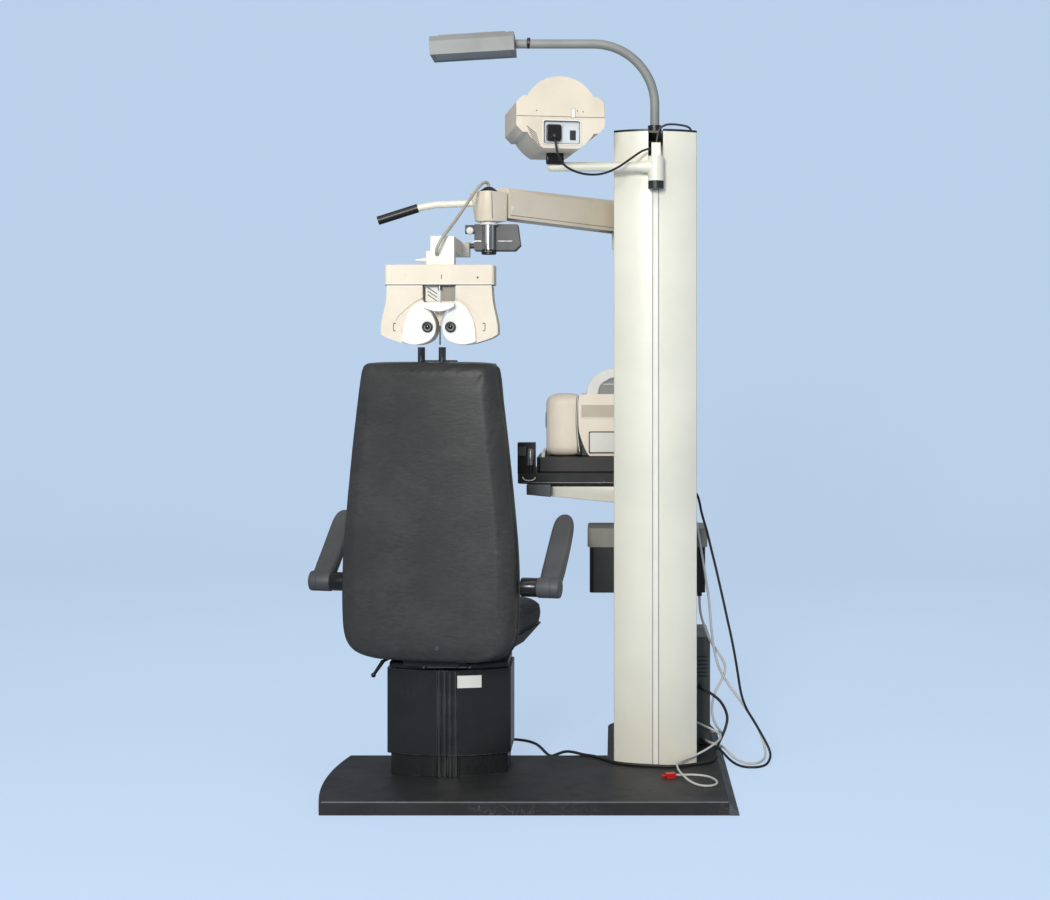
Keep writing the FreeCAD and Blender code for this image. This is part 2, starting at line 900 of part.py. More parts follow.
# How high each seat level lies, and how far its sides are drawn in there.
SEAT_LEVEL_SHARES = ((0, 1.0), (0.25, 0.3), (0.55, 0), (0.85, 0.25), (1, 0.9))
SEAT_CROWN_SHARE = 4.2

# How high each level of the backrest lies, how wide it is and how far its face is drawn in.
BACK_LEVEL_SHARES = (
    (0, 0.62, 0.55),
    (0.01, 0.72, 0.3),
    (0.035, 0.86, 0.1),
    (0.075, 0.95, 0),
    (0.13, 0.99, 0),
    (0.22, 1, 0),
    (0.36, 0.99, 0),
    (0.55, 0.935, 0),
    (0.75, 0.865, 0),
    (0.9, 0.805, 0),
    (0.972, 0.775, 0.05),
    (0.99, 0.765, 0.25),
    (1, 0.735, 0.6),
)


def backrest():
    """The padded front and the leather-covered rear shell, clasping the steel spine."""
    corner, split, gap = S.back_corner, S.back_split, S.running_gap

    def shell_level(half, draw_in):
        rear = S.back_rear + draw_in
        return [
            (-half + corner, rear, S.back_rear_crown),
            (half - corner, rear, corner * CORNER_SHARE),
            (half, rear + corner),
            (half, split),
            (-half, split),
            (-half, rear + corner, corner * CORNER_SHARE),
        ]

    def cushion_level(half, draw_in):
        front, x = S.back_front - draw_in, half - S.back_cushion_inset
        return [
            (-x, split + gap),
            (x, split + gap),
            (x, front - corner, corner * CORNER_SHARE),
            (x - corner, front, S.back_front_crown),
            (-x + corner, front, corner * CORNER_SHARE),
            (-x, front - corner),
        ]

    shell_levels, cushion_levels = [], []
    for height_share, width_share, draw_share in BACK_LEVEL_SHARES:
        z = S.back_bottom + S.back_height * height_share
        half, draw_in = S.back_half * width_share, corner * draw_share
        shell_levels.append((z, shell_level(half, draw_in)))
        cushion_levels.append((z, cushion_level(half, draw_in)))

    def post_bores(name):
        reach = S.back_bottom + S.back_height + S.cut_overrun - S.post_bottom + S.post_bore_spare
        return [cylinder(f"{name}_{i}", S.post_radius + gap, reach, S.post_spacing * share,
                         S.post_depth, S.post_bottom - S.post_bore_spare)
                for i, share in enumerate((-0.5, 0.5))]

    spine_room = block("spine_room", -S.spine_half - gap, S.spine_half + gap,
                       split - gap, split + S.spine_depth + gap,
                       S.back_bottom - S.cut_overrun, S.spine_top + gap)
    bar_half = S.arm_boss_radius / 2 + gap
    bar_room = block("bar_room", -S.back_half, S.back_half, split - gap,
                     split + S.spine_depth + gap,
                     S.arm_pivot_height - bar_half, S.arm_pivot_height + bar_half)
    shell = cut("rear_shell", lofted("shell_loft", shell_levels), *post_bores("shell_bore"))
    cushion = cut("front_cushion", lofted("cushion_loft", cushion_levels),
                  spine_room, bar_room, *post_bores("cushion_bore"))
    node("backrest_shell", place(shell, CHAIR))
    node("backrest_cushion", place(cushion, CHAIR))


def armrests():
    """Each arm is a hub round its pin with a paddle that points up and forward at rest."""
    along, across = (cosine(S.arm_raise), sine(S.arm_raise)), (-sine(S.arm_raise), cosine(S.arm_raise))

    def at(reach, rise):
        return (S.arm_pivot_back + along[0] * reach + across[0] * rise,
                S.arm_pivot_height + along[1] * reach + across[1] * rise)

    root, tip, length = S.arm_root_depth, S.arm_tip_depth, S.arm_length
    for side, name in ((-1, "left"), (1, "right")):
        low = S.arm_inner if side > 0 else -(S.arm_inner + S.arm_width)
        body = new_body(f"paddle_{name}")
        padded(body, f"paddle_{name}", "side", low, low + S.arm_width, [
            (*at(ZERO, -root / 2), root * ARM_UNDER_BOW_SHARE),
            (*at(length - tip, -tip / 2), tip * ARM_TIP_SHARE),
            (*at(length - tip / 4, tip * ARM_HOOK_SHARE), tip * ARM_NOSE_SHARE),
            (*at(length - tip * ARM_HOOK_SHARE, tip / 2 + tip / 4), -root * ARM_UNDER_BOW_SHARE),
            at(ZERO, root / 2),
        ])
        hub = cylinder(f"hub_{name}", S.arm_hub_radius, S.arm_width, low,
                       S.arm_pivot_back, S.arm_pivot_height, "x")
        pin_length = S.arm_width - S.arm_root_depth / 4 + S.running_gap * 2
        bore_start = low - S.cut_overrun if side > 0 else low + S.arm_width - pin_length
        bore = cylinder(f"arm_bore_{name}", S.arm_pin_radius + S.running_gap,
                        pin_length + S.cut_overrun, bore_start,
                        S.arm_pivot_back, S.arm_pivot_height, "x")
        arm = cut(f"arm_{name}", fused(f"arm_whole_{name}", body, hub), bore)
        node(f"armrest_{name}", place(arm, CHAIR))


ARM_UNDER_BOW_SHARE = 0.18
ARM_TIP_SHARE = 0.2
ARM_HOOK_SHARE = 0.55
ARM_NOSE_SHARE = 0.22


def brake_lever():
    """A rod under the pan with a short ball-ended lever at its rear end."""
    side, height = S.brake_side, S.brake_rod_height
    rod_length = S.brake_block_back + S.brake_block_length + S.cut_overrun - S.brake_rear
    rod = cylinder("brake_rod", S.brake_rod_radius, rod_length, -side, S.brake_rear, height, "y")
    arm = DOC.addObject("Part::Cone", "brake_arm")
    bind(arm, "Radius1", S.brake_rod_radius * BRAKE_ROOT_SHARE)
    bind(arm, "Radius2", S.brake_rod_radius)
    bind(arm, "Height", S.brake_arm_length)
    arm_y = S.brake_rear + S.brake_rod_radius
    place(arm, (-side, arm_y, height, S.brake_arm_lean), Vector(0, 1, 0))
    tip_x = -side + sine(S.brake_arm_lean) * S.brake_arm_length
    tip_z = height + cosine(S.brake_arm_lean) * S.brake_arm_length
    knob = ball("brake_ball", S.brake_ball_radius, tip_x, arm_y, tip_z)
    node("brake_lever", place(fused("lever", rod, arm, knob), CHAIR))


BRAKE_ROOT_SHARE = 1.4


def path_sketch(name, plane_turn, where, points):
    """An open path of lines and arcs; a point is (x, y), or (x, y, bulge) to bow the run after it."""
    sketch = DOC.addObject("Sketcher::SketchObject", name)
    sketch.Placement = Placement(Vector(), plane_turn)
    for letter, at in zip("xyz", where):
        bind(sketch, f"Placement.Base.{letter}", sized(at))
    return draw(sketch, points, closed=False)


def ring_section(name, radius, where, turn=Rotation()):
    """A round section to sweep, centred at a place."""
    ring = DOC.addObject("Part::Circle", name)
    ring.Placement = Placement(Vector(), turn)
    bind(ring, "Radius", sized(radius))
    for letter, at in zip("xyz", where):
        bind(ring, f"Placement.Base.{letter}", sized(at))
    return ring


UPRIGHT_XZ = Rotation(Vector(1, 0, 0), 90)


def headrest():
    """Two straight posts that slide in the backrest, and a flat bar from them to the pad in front."""
    posts = [cylinder(f"post_{i}", S.post_radius, S.post_top - S.post_bottom, S.post_spacing * share,
                      S.post_depth, S.post_bottom) for i, share in enumerate((-0.5, 0.5))]
    half = S.post_spacing / 2 + S.post_radius
    front = (S.head_back + S.head_front) / 2 + S.post_radius
    under = S.back_bottom + S.back_height + S.head_bar_lift
    bar = block("head_bar", -half, half, S.post_depth, front, under, under + S.head_bar_thickness)
    lug = block("head_lug", -half, half, front - S.post_radius * 2, front, S.head_top, under)
    node("headrest_posts", place(fused("posts", *posts, bar, lug), CHAIR))

    def pad_level(draw_in):
        return rounded_rectangle(-S.head_half + draw_in, S.head_half - draw_in,
                                 S.head_back + draw_in / 2, S.head_front - draw_in / 2,
                                 S.head_corner / 2)

    height = S.head_top - S.head_bottom
    levels = [(S.head_bottom + height * height_share, pad_level(S.head_corner * draw_share))
              for height_share, draw_share in HEAD_LEVEL_SHARES]
    node("headrest_cushion", place(lofted("head_pad", levels), CHAIR))


HEAD_LEVEL_SHARES = ((0, 0.6), (0.06, 0.25), (0.2, 0.05), (0.5, 0), (0.8, 0.05), (0.94, 0.25), (1, 0.6))


def column():
    """The hollow upright, its front slot with the white cover strip, its cap and its foot."""
    x, y, wall = S.column_x, S.column_y, S.column_wall
    half, side, bulge = S.column_half_width, S.column_half_side, S.column_bulge
    front = y - side - bulge
    body = new_body("column_profile")
    shell = padded(body, "column_profile", "top", S.base_thickness, S.column_top,
                   bowed(half, side, bulge, x, y))
    eased(body, shell, "column_profile", S.column_corner, upright)
    floor = S.base_thickness + S.foot_height
    pocketed(body, "column_hollow", "top", floor, S.column_top + S.cut_overrun,
             bowed(half - wall, side - wall, bulge, x, y))
    slot_half = S.slot_width / 2
    backing = block("slot_backing", x - slot_half - wall, x + slot_half + wall,
                    front + S.slot_depth, front + S.slot_depth + S.slot_backing,
                    floor, S.column_top - S.cable_hole_height)
    cheeks = [block(f"slot_cheek_{i}", x + (slot_half + wall / 2) * side_sign - wall / 2,
                    x + (slot_half + wall / 2) * side_sign + wall / 2,
                    front + wall / 2, front + S.slot_depth + S.slot_backing,
                    floor, S.column_top - S.cable_hole_height)
              for i, side_sign in enumerate((-1, 1))]
    slot = block("slot", x - slot_half, x + slot_half, front - S.cut_overrun, front + S.slot_depth,
                 S.base_thickness - S.cut_overrun, S.column_top + S.cut_overrun)
    hole_half = S.cable_hole_width / 2
    hole = block("cable_hole", x - hole_half, x + hole_half, front - S.cut_overrun,
                 front + bulge, S.column_top - S.cable_hole_height, S.column_top + S.cut_overrun)
    node("column_profile", cut("column", fused("column_whole", body, backing, *cheeks), slot, hole))
    strip_half, strip_back = S.strip_width / 2, front + S.slot_depth
    strip = block("slot_strip", x - strip_half, x + strip_half, front - S.strip_proud,
                  front - S.strip_proud + S.strip_thickness, S.base_thickness,
                  S.clamp_bottom - S.clamp_radius)
    stem = block("strip_stem", x - strip_half / 2, x + strip_half / 2, front, strip_back,
                 S.base_thickness, S.clamp_bottom - S.clamp_radius)
    node("column_slot_strip", fused("strip", strip, stem))
    cap = new_body("cap_plate")
    padded(cap, "cap_plate", "top", S.column_top, S.column_top + S.cap_height,
           bowed(half, side, bulge, x, y))
    socket_bottom = S.column_top + S.cap_height
    socket = cylinder("cap_socket", S.cap_socket_radius, S.cap_socket_height, x, y, socket_bottom)
    bore = cylinder("cap_bore", S.lamp_tube_radius + S.running_gap,
                    S.cap_socket_height + S.cut_overrun, x, y, socket_bottom)
    notch = block("cap_notch", x - hole_half, x + hole_half, front - S.cut_overrun,
                  front + bulge, S.column_top - S.cut_overrun, socket_bottom + S.cut_overrun)
    node("column_cap", cut("cap", fused("cap_whole", cap, socket), bore, notch))


def lamp():
    """The bent tube that turns on the column, and the lamp head that rolls on its end."""
    x, y, top, bend = S.column_x, S.column_y, S.lamp_height, S.lamp_bend
    bottom = S.column_top + S.cap_height + S.running_gap
    spine = path_sketch("lamp_path", UPRIGHT_XZ, (ZERO, y, ZERO), [
        (x, bottom),
        (x, top - bend, bend * CORNER_SHARE),
        (x - bend, top),
        (x - S.lamp_reach, top),
    ])
    outer = swept("lamp_outer", ring_section("lamp_ring", S.lamp_tube_radius, (x, y, bottom)), spine)
    inner_ring = ring_section("lamp_bore_ring", S.lamp_tube_radius - S.lamp_tube_wall, (x, y, bottom))
    inner = swept("lamp_bore", inner_ring, spine)
    node("lamp_tube", cut("lamp_pipe", outer, inner))

    length, wide, tall = S.lamp_head_length, S.lamp_head_width / 2, S.lamp_head_height / 2
    bevel, wall, glass = S.lamp_head_chamfer, S.lamp_head_wall, S.lamp_glass_inset
    where = (x - S.lamp_reach - S.running_gap * 10, y, top, S.lamp_head_slope)
    body = new_body("lamp_shell")
    padded(body, "lamp_shell", "side", -length, ZERO, [
        (-wide, -tall),
        (wide, -tall),
        (wide, tall - bevel),
        (wide - bevel, tall),
        (-wide + bevel, tall),
        (-wide, tall - bevel),
    ])
    inset = S.lamp_plate_inset
    padded(body, "lamp_plate", "top", tall, tall + S.lamp_plate_height,
           rectangle(-length + inset, -inset, -wide + inset, wide - inset))
    pocketed(body, "lamp_room", "top", -tall - S.cut_overrun, tall - bevel - wall,
             rectangle(-length + glass, -glass, -wide + glass, wide - glass))
    spigot = cylinder("lamp_spigot", S.lamp_tube_radius - S.lamp_tube_wall - S.running_gap,
                      S.lamp_spigot_length, x - S.lamp_reach - glass / 2, y, top, "x")
    shell = place(body, where, Vector(0, 1, 0))
    node("lamp_housing", fused("lamp_head", shell, spigot))
    pane = S.lamp_glass_thickness
    plate = rounded_block("lamp_pane", -length + glass, -glass, -wide + glass, wide - glass,
                          -tall + wall, -tall + wall + pane, wall)
    node("lamp_diffuser", place(plate, where, Vector(0, 1, 0)))


def projector():
    """The chart projector on its swinging arm in front of the column."""
    x, y, gap = S.column_x, S.projector_pivot_y, S.running_gap
    front = S.column_y - S.column_half_side - S.column_bulge
    bore_top = S.clamp_top - S.clamp_roof
    pin = cylinder("projector_pin", S.projector_pin_radius,
                   bore_top - gap - (S.clamp_bottom - S.clamp_radius), x, y,
                   S.clamp_bottom - S.clamp_radius)
    shelf_half = S.slot_width / 2 - gap
    shelf = block("projector_shelf", x - shelf_half, x + shelf_half, y, front + S.slot_depth,
                  S.clamp_bottom - S.clamp_radius, S.clamp_bottom - gap)
    collar = cylinder("projector_collar", S.clamp_radius, S.clamp_radius - gap, x, y,
                      S.clamp_bottom - S.clamp_radius)
    node("projector_carriage", fused("carriage", pin, shelf, collar))

    height, radius = S.projector_arm_height, S.projector_arm_radius
    clamp = cylinder("projector_clamp", S.clamp_radius, S.clamp_top - S.clamp_bottom, x, y, S.clamp_bottom)
    end = S.projector_x - radius / 2
    rod = cylinder("projector_rod", radius, x - end, end, y, height, "x")
    tip = ball("projector_tip", radius, end, y, height)
    cone = DOC.addObject("Part::Cone", "projector_cone")
    bind(cone, "Radius1", S.clamp_radius * CONE_ROOT_SHARE)
    bind(cone, "Radius2", radius)
    bind(cone, "Height", S.projector_cone_length)
    place(cone, (x - S.clamp_radius / 2, y, height, BACKWARDS), Vector(0, 1, 0))
    bore = cylinder("clamp_bore", S.projector_pin_radius + gap,
                    bore_top - S.clamp_bottom + S.cut_overrun, x, y, S.clamp_bottom - S.cut_overrun)
    head_place = (S.projector_x, S.projector_y, ZERO, S.projector_turn)
    lug_left, tilt = S.lug_left, S.tilt_height
    lug = cylinder("tilt_lug", S.tilt_radius - gap * 2, S.lug_width, lug_left, ZERO, tilt, "x")
    neck = block("tilt_neck", lug_left, lug_left + S.lug_width, -radius / 2, radius / 2, height, tilt)
    lug_bore = cylinder("lug_bore", S.tilt_pin_radius + gap, S.lug_width + S.cut_overrun * 2,
                        lug_left - S.cut_overrun, ZERO, tilt, "x")
    lug_whole = place(cut("lug", fused("lug_and_neck", lug, neck), lug_bore), head_place)
    arm = cut("projector_arm_cut", fused("projector_arm_whole", clamp, rod, tip, cone), bore)
    cheek_ease = gap * 4
    cheek_block = block("cheek_block", lug_left - S.cheek_width - cheek_ease,
                        lug_left + S.lug_width + S.cheek_width + cheek_ease,
                        -S.tilt_radius - cheek_ease, S.tilt_radius + cheek_ease,
                        tilt - S.tilt_radius - gap * 2, tilt + radius)
    cheek_room = place(grouped("cheek_room", cheek_block), head_place)
    gland_half, gland_top = S.cord_gland_width / 2, S.clamp_top + S.cord_gland_height
    gland_body = block("cord_gland_body", x - gland_half, x + gland_half, y - gland_half, y + gland_half,
                       S.clamp_top, gland_top)
    gland_bore = cylinder("cord_gland_bore", S.cord_gland_bore, S.cord_gland_depth + S.cut_overrun,
                          x - gland_half - S.cut_overrun, y, S.clamp_top + S.cord_gland_rise, "x")
    swinging = fused("projector_arm_all", cut("projector_arm_clear", arm, cheek_room), lug_whole)
    node("projector_arm", grouped("arm_and_gland", swinging, cut("cord_gland", gland_body, gland_bore)))

    floor = S.projector_height - S.projector_floor_drop
    pin_left = lug_left - S.cheek_width
    pin_length = S.lug_width + S.cheek_width * 2
    cheeks = []
    for i, left in enumerate((pin_left, lug_left + S.lug_width + gap)):
        cheeks.append(cylinder(f"cheek_{i}", S.tilt_radius, S.cheek_width - gap, left, ZERO, tilt, "x"))
        cheeks.append(block(f"cheek_web_{i}", left, left + S.cheek_width - gap, -S.tilt_radius,
                            S.tilt_radius, tilt, floor))
    cheeks.append(cylinder("tilt_pin", S.tilt_pin_radius, pin_length, pin_left, ZERO, tilt, "x"))
    cheeks.append(block("yoke", pin_left, pin_left + pin_length, -S.yoke_half_depth,
                        S.yoke_half_depth, floor - S.yoke_height, floor))
    node("projector_joint", place(fused("joint", *cheeks), head_place))

    wing, rise, r = S.projector_wing_half, S.projector_wing_rise, S.projector_radius
    middle, rear = S.projector_height, S.projector_rear
    ahead, split = rear + S.projector_depth, middle - S.projector_split_drop
    chord = root_of(r * r - rise * rise)
    floor_half = root_of(r * r - S.projector_floor_drop * S.projector_floor_drop)
    flank = r - root_of(r * r - ((chord - floor_half) * (chord - floor_half)
                                 + (S.projector_floor_drop - rise) * (S.projector_floor_drop - rise)) / 4)
    bevel = rise * WING_BEVEL_SHARE
    upper = new_body("upper_half")
    dome = padded(upper, "upper_half", "front", rear, ahead, [
        (-wing, split),
        (wing, split),
        (wing, middle + rise - bevel),
        (wing - bevel, middle + rise),
        (chord, middle + rise, r - rise),
        (-chord, middle + rise),
        (-wing + bevel, middle + rise),
        (-wing, middle + rise - bevel),
    ])
    half, hollow = S.projector_hollow_half, S.projector_hollow_rise
    pocketed(upper, "upper_room", "top", split, middle + hollow,
             rectangle(-half, half, rear + S.projector_wall, ahead - S.projector_wall))
    node("projector_upper_shell", place(upper, head_place))
    lower = new_body("lower_half")
    padded(lower, "lower_half", "front", rear, ahead, [
        (-floor_half, floor),
        (floor_half, floor, flank),
        (chord, middle - rise),
        (wing - bevel, middle - rise),
        (wing, middle - rise + bevel),
        (wing, split),
        (-wing, split),
        (-wing, middle - rise + bevel),
        (-wing + bevel, middle - rise),
        (-chord, middle - rise, flank),
    ])
    recess_back = rear + S.panel_recess
    pocketed(lower, "lower_room", "top", middle - hollow, split,
             rectangle(-half, half, recess_back + S.inlet_depth, ahead - S.projector_wall))
    panel_x, panel_z = S.panel_shift, middle - S.panel_drop
    panel_half, panel_tall = S.panel_width / 2, S.panel_height / 2
    recess = block("panel_recess", panel_x - panel_half, panel_x + panel_half, rear - S.cut_overrun,
                   recess_back, panel_z - panel_tall, panel_z + panel_tall)
    inlet = (S.inlet_shift - S.inlet_width / 2, S.inlet_shift + S.inlet_width / 2,
             panel_z - S.inlet_height / 2, panel_z + S.inlet_height / 2)
    room = S.switch_gap
    toggle_z = panel_z - S.switch_drop
    toggle = (S.switch_shift - S.switch_width / 2, S.switch_shift + S.switch_width / 2,
              toggle_z - S.switch_height / 2, toggle_z + S.switch_height / 2)
    inlet_back = recess_back + S.inlet_depth
    inlet_room = block("inlet_room", inlet[0], inlet[1], rear, inlet_back, inlet[2], inlet[3])
    toggle_room = block("toggle_room", toggle[0] - room, toggle[1] + room, rear,
                        recess_back + S.switch_depth + room * 2, toggle[2] - room, toggle[3] + room)
    lens_y = ahead - S.lens_length
    lens_room = cylinder("lens_room", S.lens_radius, S.lens_length + S.cut_overrun, ZERO, lens_y,
                         middle - S.lens_radius - S.projector_split_drop - S.projector_wall, "y")
    shell = cut("lower_cut", lower, recess, inlet_room, toggle_room, lens_room)
    node("projector_lower_shell", place(shell, head_place))
    panel = block("panel_plate", panel_x - panel_half, panel_x + panel_half,
                  recess_back - S.panel_thickness, recess_back, panel_z - panel_tall, panel_z + panel_tall)
    inlet_cut = block("inlet_cut", inlet[0], inlet[1], rear, recess_back + S.cut_overrun, inlet[2], inlet[3])
    toggle_cut = block("toggle_cut", toggle[0] - room, toggle[1] + room, rear,
                       recess_back + S.cut_overrun, toggle[2] - room, toggle[3] + room)
    socket = block("power_inlet", inlet[0], inlet[1], recess_back - S.panel_recess * INLET_PROUD_SHARE,
                   recess_back + S.inlet_depth, inlet[2], inlet[3])
    plate = cut("panel_cut", panel, inlet_cut, toggle_cut)
    node("projector_rear_panel", place(fused("rear_panel", plate, socket), head_place))
    face = recess_back - S.panel_thickness - S.switch_proud
    rocker = block("rocker", toggle[0], toggle[1], face, face + S.switch_depth, toggle[2], toggle[3])
    axle = cylinder("rocker_axle", S.switch_axle_radius, S.switch_width + (room - gap) * 2,
                    toggle[0] - room + gap, face + S.switch_depth / 2 + S.switch_proud, toggle_z, "x")
    node("projector_switch", place(fused("rocker_and_axle", rocker, axle), head_place))
    lens = cylinder("lens_barrel", S.lens_radius, S.lens_length + S.lens_radius / 2, ZERO, lens_y,
                    middle - S.lens_radius - S.projector_split_drop - S.projector_wall, "y")
    node("projector_lens", place(grouped("lens", lens), head_place))


CONE_ROOT_SHARE = 0.85
WING_BEVEL_SHARE = 0.35
INLET_PROUD_SHARE = 0.9


def phoropter_arm():
    """The bracket behind the column, the hinged beam, and the knuckle that stays level at its end."""
    gap, hx, hy = S.running_gap, S.hinge_x, S.hinge_y
    dx, dy = S.knuckle_x - hx, S.knuckle_y - hy
    length = root_of(dx * dx + dy * dy)
    along = (hx, hy, ZERO, turn_of(dx, dy))
    back = S.column_y + S.column_half_side + S.column_bulge
    bottom, thick = S.bracket_bottom, S.bracket_thickness
    plate_half = S.bracket_plate_width / 2
    plate = block("bracket_plate", S.column_x - plate_half, S.column_x + plate_half,
                  back, back + thick, bottom, bottom + S.bracket_height)
    shelf_top, boss_top = S.beam_bottom - S.bracket_clearance, S.hinge_hub_bottom - gap
    shelf_bottom = shelf_top - S.bracket_arm_drop
    shelf = block("bracket_shelf", hx, S.column_x + plate_half, back,
                  hy + S.hinge_hub_radius, shelf_bottom, shelf_top)
    boss = cylinder("bracket_boss", S.hinge_hub_radius, boss_top - shelf_bottom, hx, hy, shelf_bottom)
    pin = cylinder("bracket_pin", S.hinge_pin_radius, S.hinge_hub_top - boss_top, hx, hy, boss_top)
    node("phoropter_bracket", fused("bracket", plate, shelf, boss, pin))

    hub_height = S.hinge_hub_top - S.hinge_hub_bottom
    hub = cylinder("hinge_hub", S.hinge_hub_radius, hub_height, ZERO, ZERO, S.hinge_hub_bottom)
    cross_y = S.beam_half_width
    axle = cylinder("hinge_axle", S.hinge_cross_radius, cross_y * 2, ZERO, -cross_y,
                    S.arm_axis_height, "y")
    hub_bore = cylinder("hinge_bore", S.hinge_pin_radius + gap, hub_height + S.cut_overrun * 2,
                        ZERO, ZERO, S.hinge_hub_bottom - S.cut_overrun)
    node("phoropter_hinge", place(cut("hinge", fused("hinge_whole", hub, axle), hub_bore), along))

    half, wall, room_back = S.beam_half_width, S.beam_wall, S.hinge_hub_radius + S.beam_wall * 3
    end = length - S.beam_head_length
    body = new_body("beam_shell")
    beam = padded(body, "beam_shell", "front", -half, half, [
        (-room_back - wall, S.beam_bottom),
        (end, S.beam_bottom + S.beam_tip_rise),
        (end, S.beam_top),
        (-room_back - wall, S.beam_top),
    ])
    eased(body, beam, "beam_shell", S.beam_chamfer,
          lambda edge: edge.BoundBox.ZMin > plain(S.beam_top) - 0.01 and edge.BoundBox.YLength < 0.01,
          "Chamfer")
    inner, start = half - wall, S.beam_cover_start
    open_end = block("beam_open_end", -room_back, start, -inner, inner,
                     S.beam_bottom - S.cut_overrun, S.beam_top - S.beam_chamfer)
    closed_end = block("beam_room", start, end - S.beam_cover_end, -inner, inner,
                       S.beam_bottom + S.beam_tip_rise + wall, S.beam_top - S.beam_chamfer)
    axle_bore = cylinder("axle_bore", S.hinge_cross_radius + gap, half * 2 + S.cut_overrun * 2,
                         ZERO, -half - S.cut_overrun, S.arm_axis_height, "y")
    tongue_tall = S.knuckle_radius * TONGUE_SHARE
    tongue = block("tongue", end - S.beam_cover_end / 2, length, -S.tongue_half, S.tongue_half,
                   S.arm_axis_height - tongue_tall, S.arm_axis_height + tongue_tall)
    nose = cylinder("tongue_nose", tongue_tall, S.tongue_half * 2, length, -S.tongue_half,
                    S.arm_axis_height, "y")
    nose_bore = cylinder("tongue_bore", S.knuckle_pin_radius + gap, S.tongue_half * 2 + S.cut_overrun * 2,
                         length, -S.tongue_half - S.cut_overrun, S.arm_axis_height, "y")
    hollow = cut("beam_hollow", fused("beam_whole", body, tongue, nose),
                 open_end, closed_end, axle_bore, nose_bore)
    node("phoropter_beam", place(hollow, along))

    knuckle_place = (S.knuckle_x, S.knuckle_y, ZERO, turn_of(dx, dy))
    tall = S.knuckle_top - S.knuckle_bottom
    drum = cylinder("knuckle_drum", S.knuckle_radius, tall, ZERO, ZERO, S.knuckle_bottom)
    slot_half = S.tongue_half + S.knuckle_slot_gap
    slot = block("knuckle_slot", -S.knuckle_radius - S.cut_overrun, tongue_tall + S.knuckle_slot_gap * 2,
                 -slot_half, slot_half,
                 S.arm_axis_height - tongue_tall - S.knuckle_slot_gap * 4, S.knuckle_top + S.cut_overrun)
    level_pin = cylinder("level_pin", S.knuckle_pin_radius, S.knuckle_radius * 2 - S.knuckle_pin_radius,
                         ZERO, -S.knuckle_radius + S.knuckle_pin_radius / 2, S.arm_axis_height, "y")
    stem_bottom = S.post_sleeve_bottom - S.post_knob_height + S.knuckle_slot_gap
    stem = cylinder("knuckle_stem", S.stem_radius, S.knuckle_bottom - stem_bottom + S.cut_overrun,
                    ZERO, ZERO, stem_bottom)
    turned = place(fused("knuckle_turned", cut("knuckle_slotted", drum, slot), level_pin, stem),
                   knuckle_place)
    left = S.knuckle_x - S.knuckle_radius + S.handle_sunk
    bend_x, grip_x = S.knuckle_x - S.handle_straight, S.knuckle_x - S.handle_straight - S.handle_radius * 5
    low = S.handle_height - S.handle_drop / 2
    spine = path_sketch("handle_path", UPRIGHT_XZ, (ZERO, S.knuckle_y, ZERO), [
        (left, S.handle_height),
        (bend_x, S.handle_height - S.handle_radius / 2),
        (grip_x, low),
    ])
    ring = ring_section("handle_ring", S.handle_radius, (left, S.knuckle_y, S.handle_height), TURNS["x"])
    bar = swept("handle_bar", ring, spine)
    bar.Transition = "Round corner"
    grip = DOC.addObject("Part::Cylinder", "grip")
    bind(grip, "Radius", S.grip_radius)
    bind(grip, "Height", root_of(S.grip_length * S.grip_length + S.grip_drop * S.grip_drop))
    lean = BACKWARDS - turn_of(S.grip_length, S.grip_drop)
    place(grip, (grip_x, S.knuckle_y, low, lean), Vector(0, 1, 0))
    lid = cylinder("knuckle_lid", S.knuckle_radius, S.knuckle_lid, S.knuckle_x, S.knuckle_y,
                   S.knuckle_top - S.knuckle_lid)
    top_gland = cylinder("knuckle_gland", S.knuckle_gland_radius, S.knuckle_gland_height + S.knuckle_lid,
                         S.knuckle_x, S.knuckle_y, S.knuckle_top - S.knuckle_lid)
    knuckle = fused("knuckle", turned, bar, lid, top_gland)
    node("phoropter_knuckle", grouped("knuckle_and_grip", knuckle, grip))


TONGUE_SHARE = 0.62


